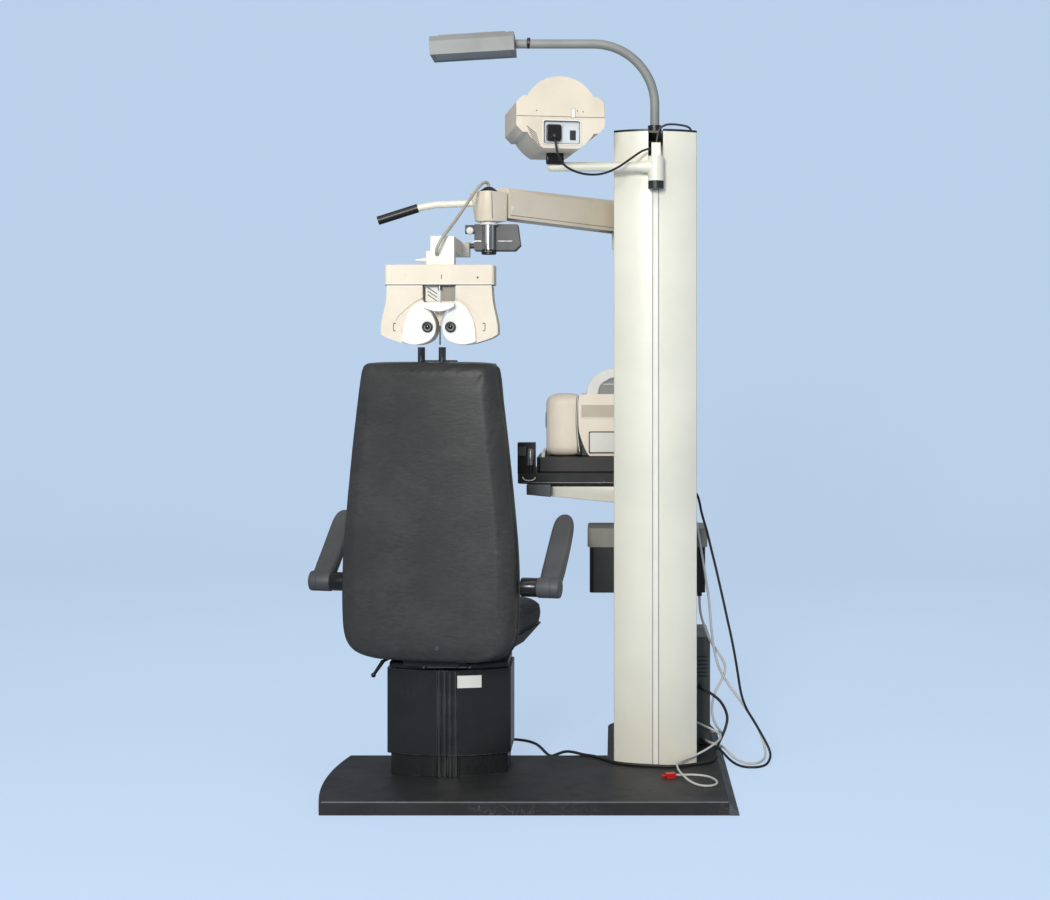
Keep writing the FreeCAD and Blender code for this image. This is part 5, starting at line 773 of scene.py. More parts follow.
def makePhoropterHalf(side, name):
    middle, top = phoropter["middle"], phoropter["top"]
    front, rear = phoropter["front"], phoropter["rear"]
    body = f"unit_{name}"

    def placeLoop(points, steps, sharp):
        return [(middle + side * a, top + b) for a, b in smoothLoop(points, steps, sharp)]

    def face(spot):
        return (middle + side * spot[0], spot[1], top + spot[2])

    piece(f"half_{name}_body", extrude(placeLoop(halfOutline, 4, (0, 1, 6, 17)), front + 0.003, rear), body,
        "beige_plastic", f"phoropter_unit_{name}", bevel=0.004)
    piece(f"half_{name}_moulding", extrude(placeLoop(mouldingOutline, 4, (0, 1, 6, 8, 12, 16)), front,
        front + 0.0045), body, "beige_plastic", bevel=0.0014)
    piece(f"half_{name}_disc", extrude(placeLoop(discOutline, 5, (0, 5)), front - 0.005, front + 0.0045), body,
        "white_plastic", bevel=0.0012)
    eye = (middle + side * phoropter["eye"], front, phoropter["eyeHeight"])
    rings = [(0.0134, 0), (0.0134, 0.0105), (0.0126, 0.0117), (0.0112, 0.012), (0.0104, 0.0112),
        (0.0102, 0.0092), (0.0089, 0.0092), (0.0086, 0.0072), (0.0072, 0.007), (0.007, 0.0045)]
    piece(f"half_{name}_eyepiece", turned(rings, 40, eye, toCamera), body, "black_plastic")
    glass = [(0.0069, 0.0046), (0.006, 0.0055), (0.004, 0.0063), (0.0016, 0.0067), (0.0003, 0.0068)]
    piece(f"half_{name}_lens", turned(glass, 32, eye, toCamera), body, "lens")
    for k, (height, reach) in enumerate(((-0.0945, 0.006), (-0.1125, 0.0045))):  # little clip beside the disc
        spot = face((0.1105, front - 0.0006, height))
        piece(f"half_{name}_clip_{k}", block((spot[0] - reach / 2, spot[1] - 0.0006, spot[2] - 0.0011),
            (spot[0] + reach / 2, front + 0.001, spot[2] + 0.0011)), body, "black_plastic", bevel=0.0003)
    spot = face((0.1105 + 0.003, front, -0.1035))
    piece(f"half_{name}_clip_bar", block((spot[0] - 0.0008, front - 0.0009, spot[2] - 0.008),
        (spot[0] + 0.0008, front + 0.001, spot[2] + 0.008)), body, "black_plastic", bevel=0.0003)
    # examiner's side: lens wheel, aperture and knobs
    for label, spotX, spotZ, radius, tall, slot, ribs in farDials:
        profile = [(radius, 0), (radius, tall - 0.002), (radius - 0.002, tall), (radius * 0.72, tall),
            (radius * 0.68, tall - 0.0012), (radius * 0.15, tall - 0.0012)]
        thing = lathe(profile, max(48, ribs * 2))
        if ribs:
            flute(thing, radius * 0.97, ribs, 0.955)
        piece(f"half_{name}_{label}", aimed(thing, face((spotX, rear, spotZ)), fromCamera), body, slot)
    tube = [(0.0145, 0), (0.0145, 0.018), (0.0135, 0.019), (0.0105, 0.019), (0.0098, 0.0175), (0.0098, 0.012)]
    behind = (middle + side * phoropter["eye"], rear, phoropter["eyeHeight"])
    piece(f"half_{name}_aperture", turned(tube, 40, behind, fromCamera), body, "black_plastic")
    piece(f"half_{name}_aperture_glass", turned([(0.0097, 0.0122), (0.006, 0.0133), (0.0004, 0.0137)], 32,
        behind, fromCamera), body, "lens")


def makePhoropterHead():
    middle, front = phoropter["middle"], phoropter["front"]
    for side, name in ((-1, "left"), (1, "right")):
        makePhoropterHalf(side, name)
    # slot, hole and seams on the bridge, the slot, hole and groove drawn black as painted shade, and the gauge
    # plates behind the rod
    onHead("bridge_slot", slab(0.0092, 0.0114, 1.331, 1.3425, 0.001, 4, front - 0.0003, front + 0.002),
        "black_plastic")
    onHead("bridge_hole", rod(0.0026, (0.0998, front - 0.0003, 1.3348), (0.0998, front + 0.002, 1.3348)),
        "black_plastic")
    for k, x in enumerate((-0.083, -0.079)):
        onHead(f"bridge_mark_{k}", block((x, front - 0.0002, 1.3405), (x + 0.0022, front + 0.001, 1.3412)),
            "arm_pu")
    onHead("bridge_lip", block((middle - 0.1345, front - 0.0012, 1.3175),
        (middle + 0.1345, front + 0.002, 1.3197)), "white_plastic", bevel=0.0006)
    onHead("bridge_groove", block((middle - 0.1345, front + 0.0003, 1.3155),
        (middle + 0.1345, front + 0.05, 1.3168)), "black_plastic")
    onHead("gauge_plate_left", block((middle - 0.0362, -0.348, 1.2765), (middle - 0.0025, -0.345, 1.3165)),
        "white_plastic", bevel=0.0006)
    for k in range(3):
        bar = block((-0.014, -0.3487, -0.0011), (0.014, -0.3478, 0.0011))
        onHead(f"gauge_line_{k}", tilted(bar, 34, (middle - 0.019, 0, 1.303 - 0.009 * k)), "arm_pu")
    onHead("gauge_plate_right", block((middle + 0.0035, -0.350, 1.2775), (middle + 0.0362, -0.345, 1.3165)),
        "grey_paint", bevel=0.0008, look="groove_shade")
    wedge = [(-0.0335, 1.2765), (0.0335, 1.2765), (0.0215, 1.261), (0.0098, 1.244), (0.0021, 1.2235),
        (0.0018, 1.2155), (-0.0018, 1.2155), (-0.0021, 1.2235), (-0.0098, 1.244), (-0.0215, 1.261)]
    onHead("nose_wedge", extrude([(middle + x, z) for x, z in wedge], -0.352, -0.346), "beige_plastic",
        bevel=0.0008)
    onHead("nose_strap", block((middle - 0.0018, -0.350, 1.168), (middle + 0.0018, -0.346, 1.2155)),
        "black_plastic", bevel=0.0008)
    onHead("hanger_rib", block((-0.0125, -0.3482, 1.368), (-0.0085, -0.3465, 1.3875)), "white_plastic",
        bevel=0.0008)
    onHead("hanger_stub", join(rod(0.0055, (-0.0305, -0.325, 1.380), (-0.046, -0.325, 1.380), ease=0.001),
        rod(0.0032, (-0.046, -0.325, 1.380), (-0.059, -0.325, 1.380), ease=0.0006)), "white_plastic")
    onHead("rest_collar", turned([(0.0048, 0), (0.0048, 0.012), (0.0036, 0.013)], 24,
        (middle, front + 0.009, 1.3035), upward), "bare_steel")


makePhoropterHead()
dress(nodes["forehead_rest"], "white_plastic")
print("phoropter dressed")

# swinging arm: seam, screws and knuckle housing

armHinge, armEnd = Vector((0.455, 0.262, 0)), Vector((0.111, -0.150, 0))
armReach = (armEnd - armHinge).length
armAlong = (armEnd - armHinge).normalized()
# in this frame x runs from the hinge to the knuckle, and the photograph's side is y > 0
armTurn = Matrix.Translation(armHinge) @ Matrix.Rotation(math.atan2(armAlong.y, armAlong.x), 4, "Z")
for side, label in ((1, "a"), (-1, "b")):
    face = 0.0292 * side
    seam = ((0.06, 1.5035), (armReach - 0.05, 1.5105))
    strip = bmesh.new()
    rows = [strip.verts.new((x, face + 0.0002 * side, z + dz)) for x, z in seam for dz in (-0.0006, 0.0006)]
    strip.faces.new((rows[0], rows[1], rows[3], rows[2]))
    bmesh.ops.solidify(strip, geom=strip.faces[:], thickness=0.0006)
    piece(f"beam_seam_{label}", strip, "phoropter_boom", "arm_pu", turn=armTurn)
    washer = [(0.0066, 0), (0.0066, 0.0012), (0.0058, 0.0018), (0.0044, 0.0018), (0.0042, 0.0008),
        (0.0032, 0.0008), (0.0032, 0.0022), (0.0012, 0.0026)]
    piece(f"beam_washer_{label}", turned(washer, 32, (armReach - 0.062, 0.029 * side, 1.529), (0, side, 0)),
        "phoropter_boom", "white_plastic", turn=armTurn)
paintPart("phoropter_knuckle", "black_plastic", lambda c: c.x < -0.076 or c.z > 1.5672)
print("arm dressed")

# rounded edges: the rigid parts keep their size and get the small radii of the real mouldings

# node: body, slot, width of the rounding
edgeRadii = {
    "base_plate": ("stand", "black_laminate", 0.0022),
    "pedestal_lower_cover": ("stand", "pedestal_black", 0.003),
    "pedestal_upper_cover": ("lift", "pedestal_black", 0.0035),
    "pedestal_trim_strip": ("lift", "pedestal_black", 0.0012), "seat_pan": ("chair", "black_paint", 0.004),
    "lamp_housing": ("lamp_head", "satin_silver", 0.0025),
    "projector_upper_shell": ("projector_head", "beige_plastic", 0.003),
    "projector_lower_shell": ("projector_head", "beige_plastic", 0.003),
    "phoropter_beam": ("phoropter_boom", "beige_plastic", 0.004),
    "cross_slide": ("phoropter_swivel", "grey_paint", 0.003),
    "phoropter_carrier": ("phoropter_shift", "ivory_paint", 0.002),
    "phoropter_bridge": ("phoropter_shift", "beige_plastic", 0.0025),
    "phoropter_bracket": ("stand", "ivory_paint", 0.003), "table_bracket": ("stand", "ivory_paint", 0.003),
    "table_top": ("table", "black_laminate", 0.0025), "table_switch_box": ("table", "black_plastic", 0.003),
    "instrument_base": ("table", "black_plastic", 0.003), "transformer_box": ("stand", "grey_paint", 0.003),
}

for node, (body, slot, width) in edgeRadii.items():
    mesh = bmesh.new()
    mesh.from_mesh(nodes[node].data)
    bmesh.ops.remove_doubles(mesh, verts=mesh.verts, dist=0.00002)
    bmesh.ops.dissolve_limit(mesh, angle_limit=math.radians(1), verts=mesh.verts, edges=mesh.edges)
    piece(f"{node}_rounded", mesh, body, slot, node, bevel=width)
for node, slot in (("brake_lever", "black_plastic"), ("projector_carriage", "black_paint"),
        ("lamp_tube", "satin_silver")):
    dress(nodes[node], slot)
dress(cordCurves["top_cable"], "arm_pu")
paintPart("control_box", "transformer_lid", lambda c: c.z > 0.603)
paintPart("phoropter_post", "black_plastic", lambda c: c.z < 1.4186)
print("edges rounded:", len(edgeRadii))


def rearFace(tree, x, z):  # how far back the surface lies, seen from behind the chair
    return tree.ray_cast(Vector((x, -2, z)), Vector((0, 1, 0)))[0].y


# armrests: a hub in two turned pieces and a flattened paddle with a round tip

arm = {"pivot": (-0.150, 0.545), "inner": 0.2823, "width": 0.060, "hub": 0.0265, "root": 0.0195, "tip": 0.0115,
       "reach": 0.2415, "rise": 45}


def makeArm(side, name):
    pivotY, pivotZ = arm["pivot"]
    middle = side * (arm["inner"] + arm["width"] / 2)
    along = (math.cos(math.radians(arm["rise"])), math.sin(math.radians(arm["rise"])))
    rings = []
    for share, half, thin in ((0, 0.97, 1), (0.2, 0.99, 1), (0.45, 1, 1), (0.7, 0.98, 1), (0.84, 0.93, 1),
            (0.905, 0.84, 0.99), (0.945, 0.7, 0.95), (0.972, 0.53, 0.86), (0.99, 0.32, 0.68), (1, 0.12, 0.4)):
        reach = arm["reach"] * share
        wide = arm["width"] / 2 * half
        tall = (arm["root"] + (arm["tip"] - arm["root"]) * share) * thin
        bow = -0.006 * math.sin(math.pi * share)
        ring = roundRect(-wide, wide, -tall, tall, min(wide, tall) * 0.72, 6)
        rings.append([(middle + a, pivotY + along[0] * reach - along[1] * (b + bow),
                       pivotZ + along[1] * reach + along[0] * (b + bow)) for a, b in ring])
    piece(f"arm_paddle_{name}", loft(rings), f"arm_{name}", "arm_pu", f"armrest_{name}", rounds=1,
        turn=chairTurn)
    r, wide = arm["hub"], arm["width"]
    profile = [(r * 0.6, 0), (r - 0.0035, 0), (r - 0.001, 0.0012), (r, 0.004), (r, wide * 0.6),
        (r - 0.0008, wide * 0.615), (r - 0.0008, wide * 0.63), (r, wide * 0.645), (r, wide - 0.0045),
        (r - 0.0012, wide - 0.0014), (r - 0.004, wide), (r * 0.35, wide), (r * 0.3, wide - 0.0012)]
    piece(f"arm_hub_{name}", turned(profile, 56, (side * arm["inner"], pivotY, pivotZ), (side, 0, 0)),
        f"arm_{name}", "arm_pu", turn=chairTurn)
    boss = [(0.0246, 0), (0.0246, 0.0385), (0.0236, 0.0402), (0.0205, 0.0402)]
    piece(f"arm_boss_{name}", turned(boss, 56, (side * (arm["inner"] - 0.0408), pivotY, pivotZ), (side, 0, 0)),
        "chair", "black_paint", turn=chairTurn, look="boss_gloss")


for side, name in ((-1, "left"), (1, "right")):
    makeArm(side, name)
print("armrests made")

# pedestal: rib lines and top edge line in a lighter grey as painted highlights, bare plate, head plate with its
# bar and screws

pedestal = {"ribs": (-0.02145, -0.00715, 0.00715, 0.02145), "ribTop": 0.3125, "ribLow": 0.0925,
    "plate": (0.0235, 0.089, 0.2695, 0.302), "head": (0.1575, 0.118, 0.317, 0.3325), "bar": (-0.054, 0.051),
    "screws": (-0.062, 0.058)}


def makePedestalDetails():
    front = surfaceOf(nodes["pedestal_trim_strip"])
    cover = surfaceOf(nodes["pedestal_upper_cover"])
    # raised ribs and flank lines on the front in a lighter grey: painted highlights
    for label, tree, places, radius in (("rib", front, pedestal["ribs"], 0.0014),
            ("flank_highlight", cover, (-0.02744, 0.02744), 0.0009)):
        for k, x in enumerate(places):
            y = rearFace(tree, x, 0.2)
            strand(f"pedestal_{label}_{k}", [(x, y, z) for z in (pedestal["ribLow"], 0.2, pedestal["ribTop"])],
                radius, "lift", "post_steel")
    # a lighter line along the cover's top front edge: painted highlight
    top = [(x, rearFace(cover, x, 0.31) + 0.0018, 0.3152) for x in (-0.1615, -0.12, -0.08, -0.04, 0, 0.04, 0.08,
        0.12, 0.1615)]
    strand("pedestal_top_highlight", top, 0.0011, "lift", "post_steel")
    x0, x1, z0, z1 = pedestal["plate"]
    rings = []
    for i in range(9):  # the plate follows the cover's curve
        x = x0 + (x1 - x0) * i / 8
        y = rearFace(cover, x, (z0 + z1) / 2)
        rings.append([(x, y - 0.0012, z0), (x, y - 0.0012, z1), (x, y + 0.0015, z1), (x, y + 0.0015, z0)])
    onLift("pedestal_plate", loft(rings), "white_plastic", bevel=0.0004)
    half, reach, low, high = pedestal["head"]
    ring = smoothLoop([(-half, -reach * 0.74), (-half * 0.45, -reach * 0.97), (half * 0.45, -reach * 0.97),
        (half, -reach * 0.74), (half, reach * 0.74), (half * 0.45, reach * 0.97), (-half * 0.45, reach * 0.97),
        (-half, reach * 0.74)], 6, (0, 3, 4, 7))
    onLift("pedestal_head_plate", extrude(ring, low, high, True), "pedestal_black", bevel=0.0035)
    x0, x1 = pedestal["bar"]
    onLift("pedestal_head_bar", block((x0, -reach * 1.0 - 0.0015, 0.3205), (x1, -reach * 0.9, 0.3262)),
        "bare_steel", bevel=0.0018)
    for k, x in enumerate(pedestal["screws"]):
        onLift(f"pedestal_screw_{k}", turned([(0.0042, 0), (0.0042, 0.002), (0.003, 0.003), (0.0012, 0.0026)],
            24, (x, -reach * 0.985, 0.3235), toCamera), "bare_steel")


makePedestalDetails()
print("pedestal dressed")

# projector: seam, latch, panel frame with its white lip as painted highlight and dark inner line as painted
# shade, plug with its boot, rocker marks and vents; the dark slits, screw holes and latch gap are painted shade

projector = {"place": Matrix.Translation((0.276, -0.020, 0)) @ Matrix.Rotation(math.radians(10.6), 4, "Z"),
    "rear": -0.122, "seam": 1.767, "panel": (-0.0465, 0.0525, 1.6945, 1.7575),
    "plug": (-0.0383, 0.0014, 1.7034, 1.7463), "rocker": (0.033, 1.720)}
onProjector = onBody("projector_head", turn=projector["place"])


def makeProjectorDetails():
    rear, turn = projector["rear"], projector["place"]
    x0, x1, z0, z1 = projector["panel"]
    frame4 = [(x, rear - 0.0004, z) for x, z in roundRect(x0, x1, z0, z1, 0.006, 5)]
    # a raised white lip round the panel recess, its white a painted highlight
    strand("projector_panel_highlight_lip", frame4, 0.0017, "projector_head", "white_plastic", closed=True, turn=turn,
        smooth=False)
    inner = [(x, rear + 0.0016, z) for x, z in roundRect(x0 + 0.0022, x1 - 0.0022, z0 + 0.0022, z1 - 0.0022,
        0.005, 5)]
    strand("projector_panel_shade", inner, 0.0009, "projector_head", "black_plastic", closed=True, turn=turn,
        smooth=False)
    onProjector("projector_seam", block((-0.1165, rear - 0.0003, projector["seam"] - 0.0006),
        (0.1165, rear + 0.001, projector["seam"] + 0.0006)), "arm_pu")
    onProjector("projector_latch", block((0.0275, rear - 0.0022, 1.7652), (0.038, rear + 0.001, 1.7895)),
        "white_plastic", bevel=0.0012)
    # a dark block round the latch: painted shade in the gap
    onProjector("projector_latch_slot", block((0.0268, rear - 0.0006, 1.7645), (0.0388, rear + 0.001, 1.7902)),
        "arm_pu", bevel=0.0008)
    # black discs for the screw holes: painted shade
    for k, (x, z) in enumerate(((0.0435, 1.7835), (0.0588, 1.7812), (-0.064, 1.7815))):
        onProjector(f"projector_screw_hole_{k}", rod(0.0017, (x, rear - 0.0003, z), (x, rear + 0.001, z)),
            "black_plastic")
    x0, x1, z0, z1 = projector["plug"]
    body = extrude(roundRect(x0, x1, z0, z1, 0.007, 6), rear + 0.009, rear - 0.0065)
    onProjector("projector_plug", body, "black_plastic", bevel=0.0028, look="plug_gloss")
    onProjector("projector_plug_rib", block((x0 + 0.006, rear - 0.0078, z0 + 0.006),
        (x1 - 0.006, rear - 0.0055, z0 + 0.0078)), "black_plastic", bevel=0.0007)
    boot = [(0.0078, -0.002), (0.0078, 0.002), (0.0066, 0.003), (0.0066, 0.0055), (0.0056, 0.0065),
        (0.0056, 0.009), (0.0046, 0.010), (0.0044, 0.0135), (0.0034, 0.014)]
    onProjector("projector_boot", turned(boot, 32, (-0.0178, rear - 0.006, 1.7138), (-0.012, -1, -0.055)),
        "black_plastic")
    x, z = projector["rocker"]
    onProjector("projector_rocker_frame", slab(x - 0.0095, x + 0.0095, z - 0.0145, z + 0.0145, 0.002, 4,
        rear + 0.0088, rear + 0.0113), "arm_pu", bevel=0.0006)
    mark = extrude(roundRect(x - 0.0006, x + 0.0006, z + 0.0035, z + 0.0085, 0.0004, 3), rear + 0.0066,
        rear + 0.009)
    piece("projector_rocker_on", mark, "projector_rocker", "white_plastic", turn=turn)
    ring = [(x + 0.0019 * math.cos(a), rear + 0.0072, z - 0.0058 + 0.0019 * math.sin(a))
            for a in (2 * math.pi * i / 20 for i in range(20))]
    strand("projector_rocker_off", ring, 0.0004, "projector_rocker", "white_plastic", closed=True, turn=turn,
        smooth=False)
    # the vent slits are dark grey strips: painted shade in the slots
    for k in range(5):
        half = 0.0135 + 0.0008 * k
        slit = tilted(block((-half, -0.0007, -0.0011), (half, 0.0007, 0.0011)), 38,
            (-0.0655 - 0.0028 * k, rear + 0.0004, 1.7005 + 0.0075 * k))
        onProjector(f"projector_vent_{k}", slit, "arm_pu", bevel=0.0005)
    onProjector("projector_joint_cheek", block((-0.0235, -0.0262, 1.6545), (0.0235, -0.0196, 1.6838)),
        "black_paint", bevel=0.0035, look="plug_gloss")


makeProjectorDetails()
print("projector dressed")

# knuckle: wedge cover with its boot and collar, the knobs of the post and the slide

knuckle = {"low": 1.4925, "high": 1.5678, "half": 0.0346, "back": 0.0335, "reachTop": 0.036, "reachLow": 0.0342,
           "spot": (0.111, -0.150)}


def makeKnuckleDetails():
    x, y = knuckle["spot"]
    half = knuckle["half"]
    rings = []
    for share, reach, corner in ((0, knuckle["reachLow"], 0.031), (0.04, knuckle["reachLow"] + 0.0005, 0.031),
                                 (0.5, (knuckle["reachLow"] + knuckle["reachTop"]) / 2, 0.023),
                                 (0.96, knuckle["reachTop"], 0.013), (1, knuckle["reachTop"] - 0.0015, 0.0125)):
        z = knuckle["low"] + (knuckle["high"] - knuckle["low"]) * share
        lean = 0.0045 * share
        ring = roundRect(armReach - knuckle["back"], armReach + reach + lean, -half - lean * 0.3,
            half + lean * 0.3, (corner, corner, 0.004, 0.004), 8)
        rings.append([(a, b, z) for a, b in ring])
    piece("knuckle_cover", loft(rings), "phoropter_leveller", "beige_plastic", turn=armTurn)
    a, b = armReach + knuckle["reachTop"] - 0.0125, half + 0.0006
    strand("knuckle_seam", [(a, b, knuckle["low"] + 0.004), (a + 0.001, b, 1.53),
        (a + 0.003, b + 0.0008, knuckle["high"] - 0.003)], 0.0007, "phoropter_leveller", "arm_pu", turn=armTurn)
    boot = [[(x + dx * r, y + dy * r, z) for dx, dy in roundRect(-0.024, 0.024, -0.020, 0.020, 0.012, 6)]
            for r, z in ((1, 1.5672), (1, 1.5695), (0.8, 1.5745), (0.5, 1.5795), (0.36, 1.5815), (0.3, 1.582))]
    piece("knuckle_boot", loft(boot), "phoropter_leveller", "black_plastic")
    onSwivel("knuckle_collar", turned([(0.0215, 0), (0.0225, 0.001), (0.0225, 0.0075), (0.0205, 0.0085)], 48,
        (x, y, 1.4825), upward), "white_plastic")
    knob = [(0.0165, 0), (0.0188, 0.0015), (0.0198, 0.004), (0.0198, 0.0105), (0.0185, 0.0125), (0.014, 0.0132)]
    grip = lathe(knob, 72)
    flute(grip, 0.0195, 18, 0.97)
    onSwivel("post_knob", aimed(grip, (x, y, 1.4056), (0, 0, 1)), "black_plastic")
    for k, side in enumerate((-0.0075, 0.0075)):
        onSwivel(f"post_stud_{k}", turned([(0.0017, 0), (0.0017, 0.0012), (0.0009, 0.0018)], 16,
            (x + side, y - 0.0186, 1.4122), (side * 30, -1, 0)), "bare_steel")
    onSwivel("slide_lock", turned([(0.0052, -0.002), (0.0052, 0.004), (0.0092, 0.005), (0.0098, 0.007),
        (0.0098, 0.012), (0.0086, 0.0145), (0.0045, 0.0155)], 40, (0.0635, -0.1405, 1.468), (-0.15, -1, 0)),
        "white_plastic")
    onSwivel("slide_stripe", block((0.066, -0.1408, 1.4405), (0.09, -0.1395, 1.4428)), "bare_steel",
        bevel=0.0004)
    onSwivel("slide_stripe_right", block((0.133, -0.1408, 1.4405), (0.172, -0.1395, 1.4428)), "bare_steel",
        bevel=0.0004)


makeKnuckleDetails()
print("knuckle dressed")

# instrument on the table: capped drum, body with its band, arch, box and the things beside it

instrument = {"left": 0.2402, "seam": 0.3325, "right": 0.5398, "front": 0.3275, "rear": 0.5135, "low": 0.8535,
    "high": 1.0325, "archTop": 1.1105}


def makeInstrument():
    a = instrument
    rings = []
    for share, draw in ((0, 0.022), (0.04, 0.013), (0.12, 0.005), (0.3, 0.0005), (0.6, 0), (0.85, 0.0015),
            (0.97, 0.004), (1, 0.0065)):
        x = a["left"] + (a["seam"] - 0.0012 - a["left"]) * share
        ring = roundRect(a["front"] + draw, a["rear"] - draw, a["low"] + draw * 0.6, a["high"] - draw, 0.026, 8)
        rings.append([(x, y, z) for y, z in ring])
    onInstrument("instrument_drum", loft(rings), "beige_plastic", "instrument_body", bevel=0.0015,
        look="beige_painted_lighter")
    outline = smoothLoop([(a["seam"] + 0.0012, 1.012), (a["seam"] + 0.009, 1.029),
        (a["seam"] + 0.03, a["high"]), (a["right"], a["high"]), (a["right"], a["low"]), (0.366, a["low"]),
        (0.356, 0.868), (0.345, 0.895), (0.336, 0.925), (a["seam"] + 0.0012, 0.955)], 4, sharp=(3, 4, 5))
    onInstrument("instrument_case", extrude(outline, a["front"] + 0.001, a["rear"] - 0.001), "beige_plastic",
        bevel=0.006, look="beige_painted_lighter")
    # a black block fills the gap behind the seam between drum and case: painted shade
    onInstrument("instrument_core", block((0.322, 0.352, 0.8535), (0.372, 0.48, 1.018)), "black_plastic",
        bevel=0.004)
    line = [(a["seam"] - 0.0005, a["front"] + 0.004, 1.024), (a["seam"] - 0.004, a["front"] + 0.0012, 0.97),
            (a["seam"] - 0.001, a["front"] + 0.0016, 0.91), (a["seam"] + 0.005, a["front"] + 0.004, 0.866)]
    strand("instrument_seam", line, 0.0014, "instrument", "white_plastic")
    strand("instrument_seam_shade", [(x - 0.0022, y + 0.0006, z) for x, y, z in line], 0.0011, "instrument",
        "arm_pu")
    for k, (z0, z1, slot) in enumerate(((0.966, 1.0, "instrument_band"), (1.0005, 1.003, "white_plastic"),
                                        (0.9625, 0.9655, "white_plastic"))):
        onInstrument(f"instrument_band_{k}", block((0.343, a["front"] - 0.0006 + 0.0009 * (k == 0), z0),
            (0.5395, a["front"] + 0.004, z1)), "beige_plastic", bevel=0.0009, look=slot)
    arch = smoothLoop([(0.3575, 1.030), (0.3595, 1.052), (0.374, 1.078), (0.402, 1.099), (0.44, 1.1085),
        (a["right"], a["archTop"]), (a["right"], 1.082), (0.445, 1.0805), (0.414, 1.0705), (0.397, 1.055),
        (0.3905, 1.030)], 4, sharp=(0, 5, 6, 10))
    onInstrument("instrument_arch", extrude(arch, 0.3302, 0.3498), "white_plastic", bevel=0.0035)
    screen = smoothLoop([(0.385, 1.029), (0.395, 1.058), (0.414, 1.074), (0.445, 1.084), (0.539, 1.086),
        (0.539, 1.029)], 4, sharp=(0, 4, 5))
    onInstrument("instrument_screen", extrude(screen, 0.337, 0.347), "satin_silver")
    onInstrument("instrument_screen_line", block((0.40, 0.3355, 1.0605), (0.539, 0.338, 1.0625)),
        "white_plastic")
    onInstrument("instrument_port_shade", slab(0.3642, 0.441, 0.8618, 0.9248, 0.003, 4, 0.3235, 0.3305),
        "black_plastic", bevel=0.0008)
    onInstrument("instrument_port", slab(0.3672, 0.438, 0.8645, 0.9217, 0.004, 4, 0.3185, 0.3265),
        "white_plastic", bevel=0.0018)
    onInstrument("instrument_foot", block((0.342, 0.338, 0.8528), (0.40, 0.40, 0.884)), "black_plastic",
        bevel=0.003)
    onInstrument("table_ledge", slab(0.2285, 0.2375, 0.8505, 0.868, 0.0015, 3, 0.302, 0.50), "white_plastic",
        bevel=0.0008)
    onTable("switch_barrel", turned([(0.0072, 0), (0.0085, 0.0015), (0.0085, 0.012), (0.0078, 0.0128),
        (0.0078, 0.0142), (0.0085, 0.015), (0.0085, 0.044), (0.0068, 0.047)], 40, (0.2005, 0.2195, 0.833),
        upward), "bare_steel")
    onTable("switch_window", slab(0.1665, 0.188, 0.86, 0.886, 0.002, 3, 0.2218, 0.2242), "arm_pu", bevel=0.0006)
    strand("table_pull", [(0.179, 0.2225, 0.7995), (0.1795, 0.2165, 0.7975), (0.185, 0.2155, 0.7915),
        (0.2, 0.2155, 0.79), (0.211, 0.2165, 0.7925), (0.2145, 0.2225, 0.7985)], 0.0016, "table",
        "white_plastic")
    # a thin steel-coloured line along the table's front edge: painted highlight
    onTable("table_edge_line", block((0.1645, 0.2212, 0.7835), (0.5585, 0.2224, 0.7848)), "black_laminate",
        look="bare_steel")
    sleeve = [(0.1902, 0.7796), (0.2585, 0.7796), (0.2585, 0.7445), (0.1902, 0.7512)]
    onStand("bracket_end", extrude(sleeve, 0.2038, 0.30), "aluminium_trim", bevel=0.0015)


makeInstrument()
print("instrument and table dressed")

# column: grooves beside the strip; back screw; louvres


def makeColumnDetails():
    face = surfaceOf(nodes["column_profile"])
    for k, x in enumerate((0.5418, 0.5582)):
        y = rearFace(face, x, 0.8)
        onStand(f"column_groove_{k}", block((x - 0.0008, y - 0.0003, 0.036), (x + 0.0008, y + 0.0006, 1.59)),
            "ivory_paint", look="groove_shade")
    back = surfaceOf(bpy.data.objects["back_rear_cover"])
    x, z = -0.0156, 0.3935
    y = rearFace(back, x, z)
    piece("back_screw", turned([(0.0062, -0.003), (0.0062, 0.0006), (0.0052, 0.0016), (0.0034, 0.0016),
        (0.003, 0.0006), (0.0012, 0.0004)], 28, (x, y, z), toCamera), "chair", "post_steel")
    box = surfaceOf(nodes["transformer_box"])
    # the louvres are dark strips: painted shade in the slots
    for k in range(6):
        z = 0.285 - 0.011 * k
        y = rearFace(box, 0.695, z)
        onStand(f"transformer_louvre_{k}", slab(0.672, 0.704, z - 0.0018, z + 0.0018, 0.0015, 3, y - 0.0012,
            y + 0.0008), "black_paint", bevel=0.0004)


makeColumnDetails()
print("column dressed")

# the sides that the photograph doesn't show get the plain fittings of their kind


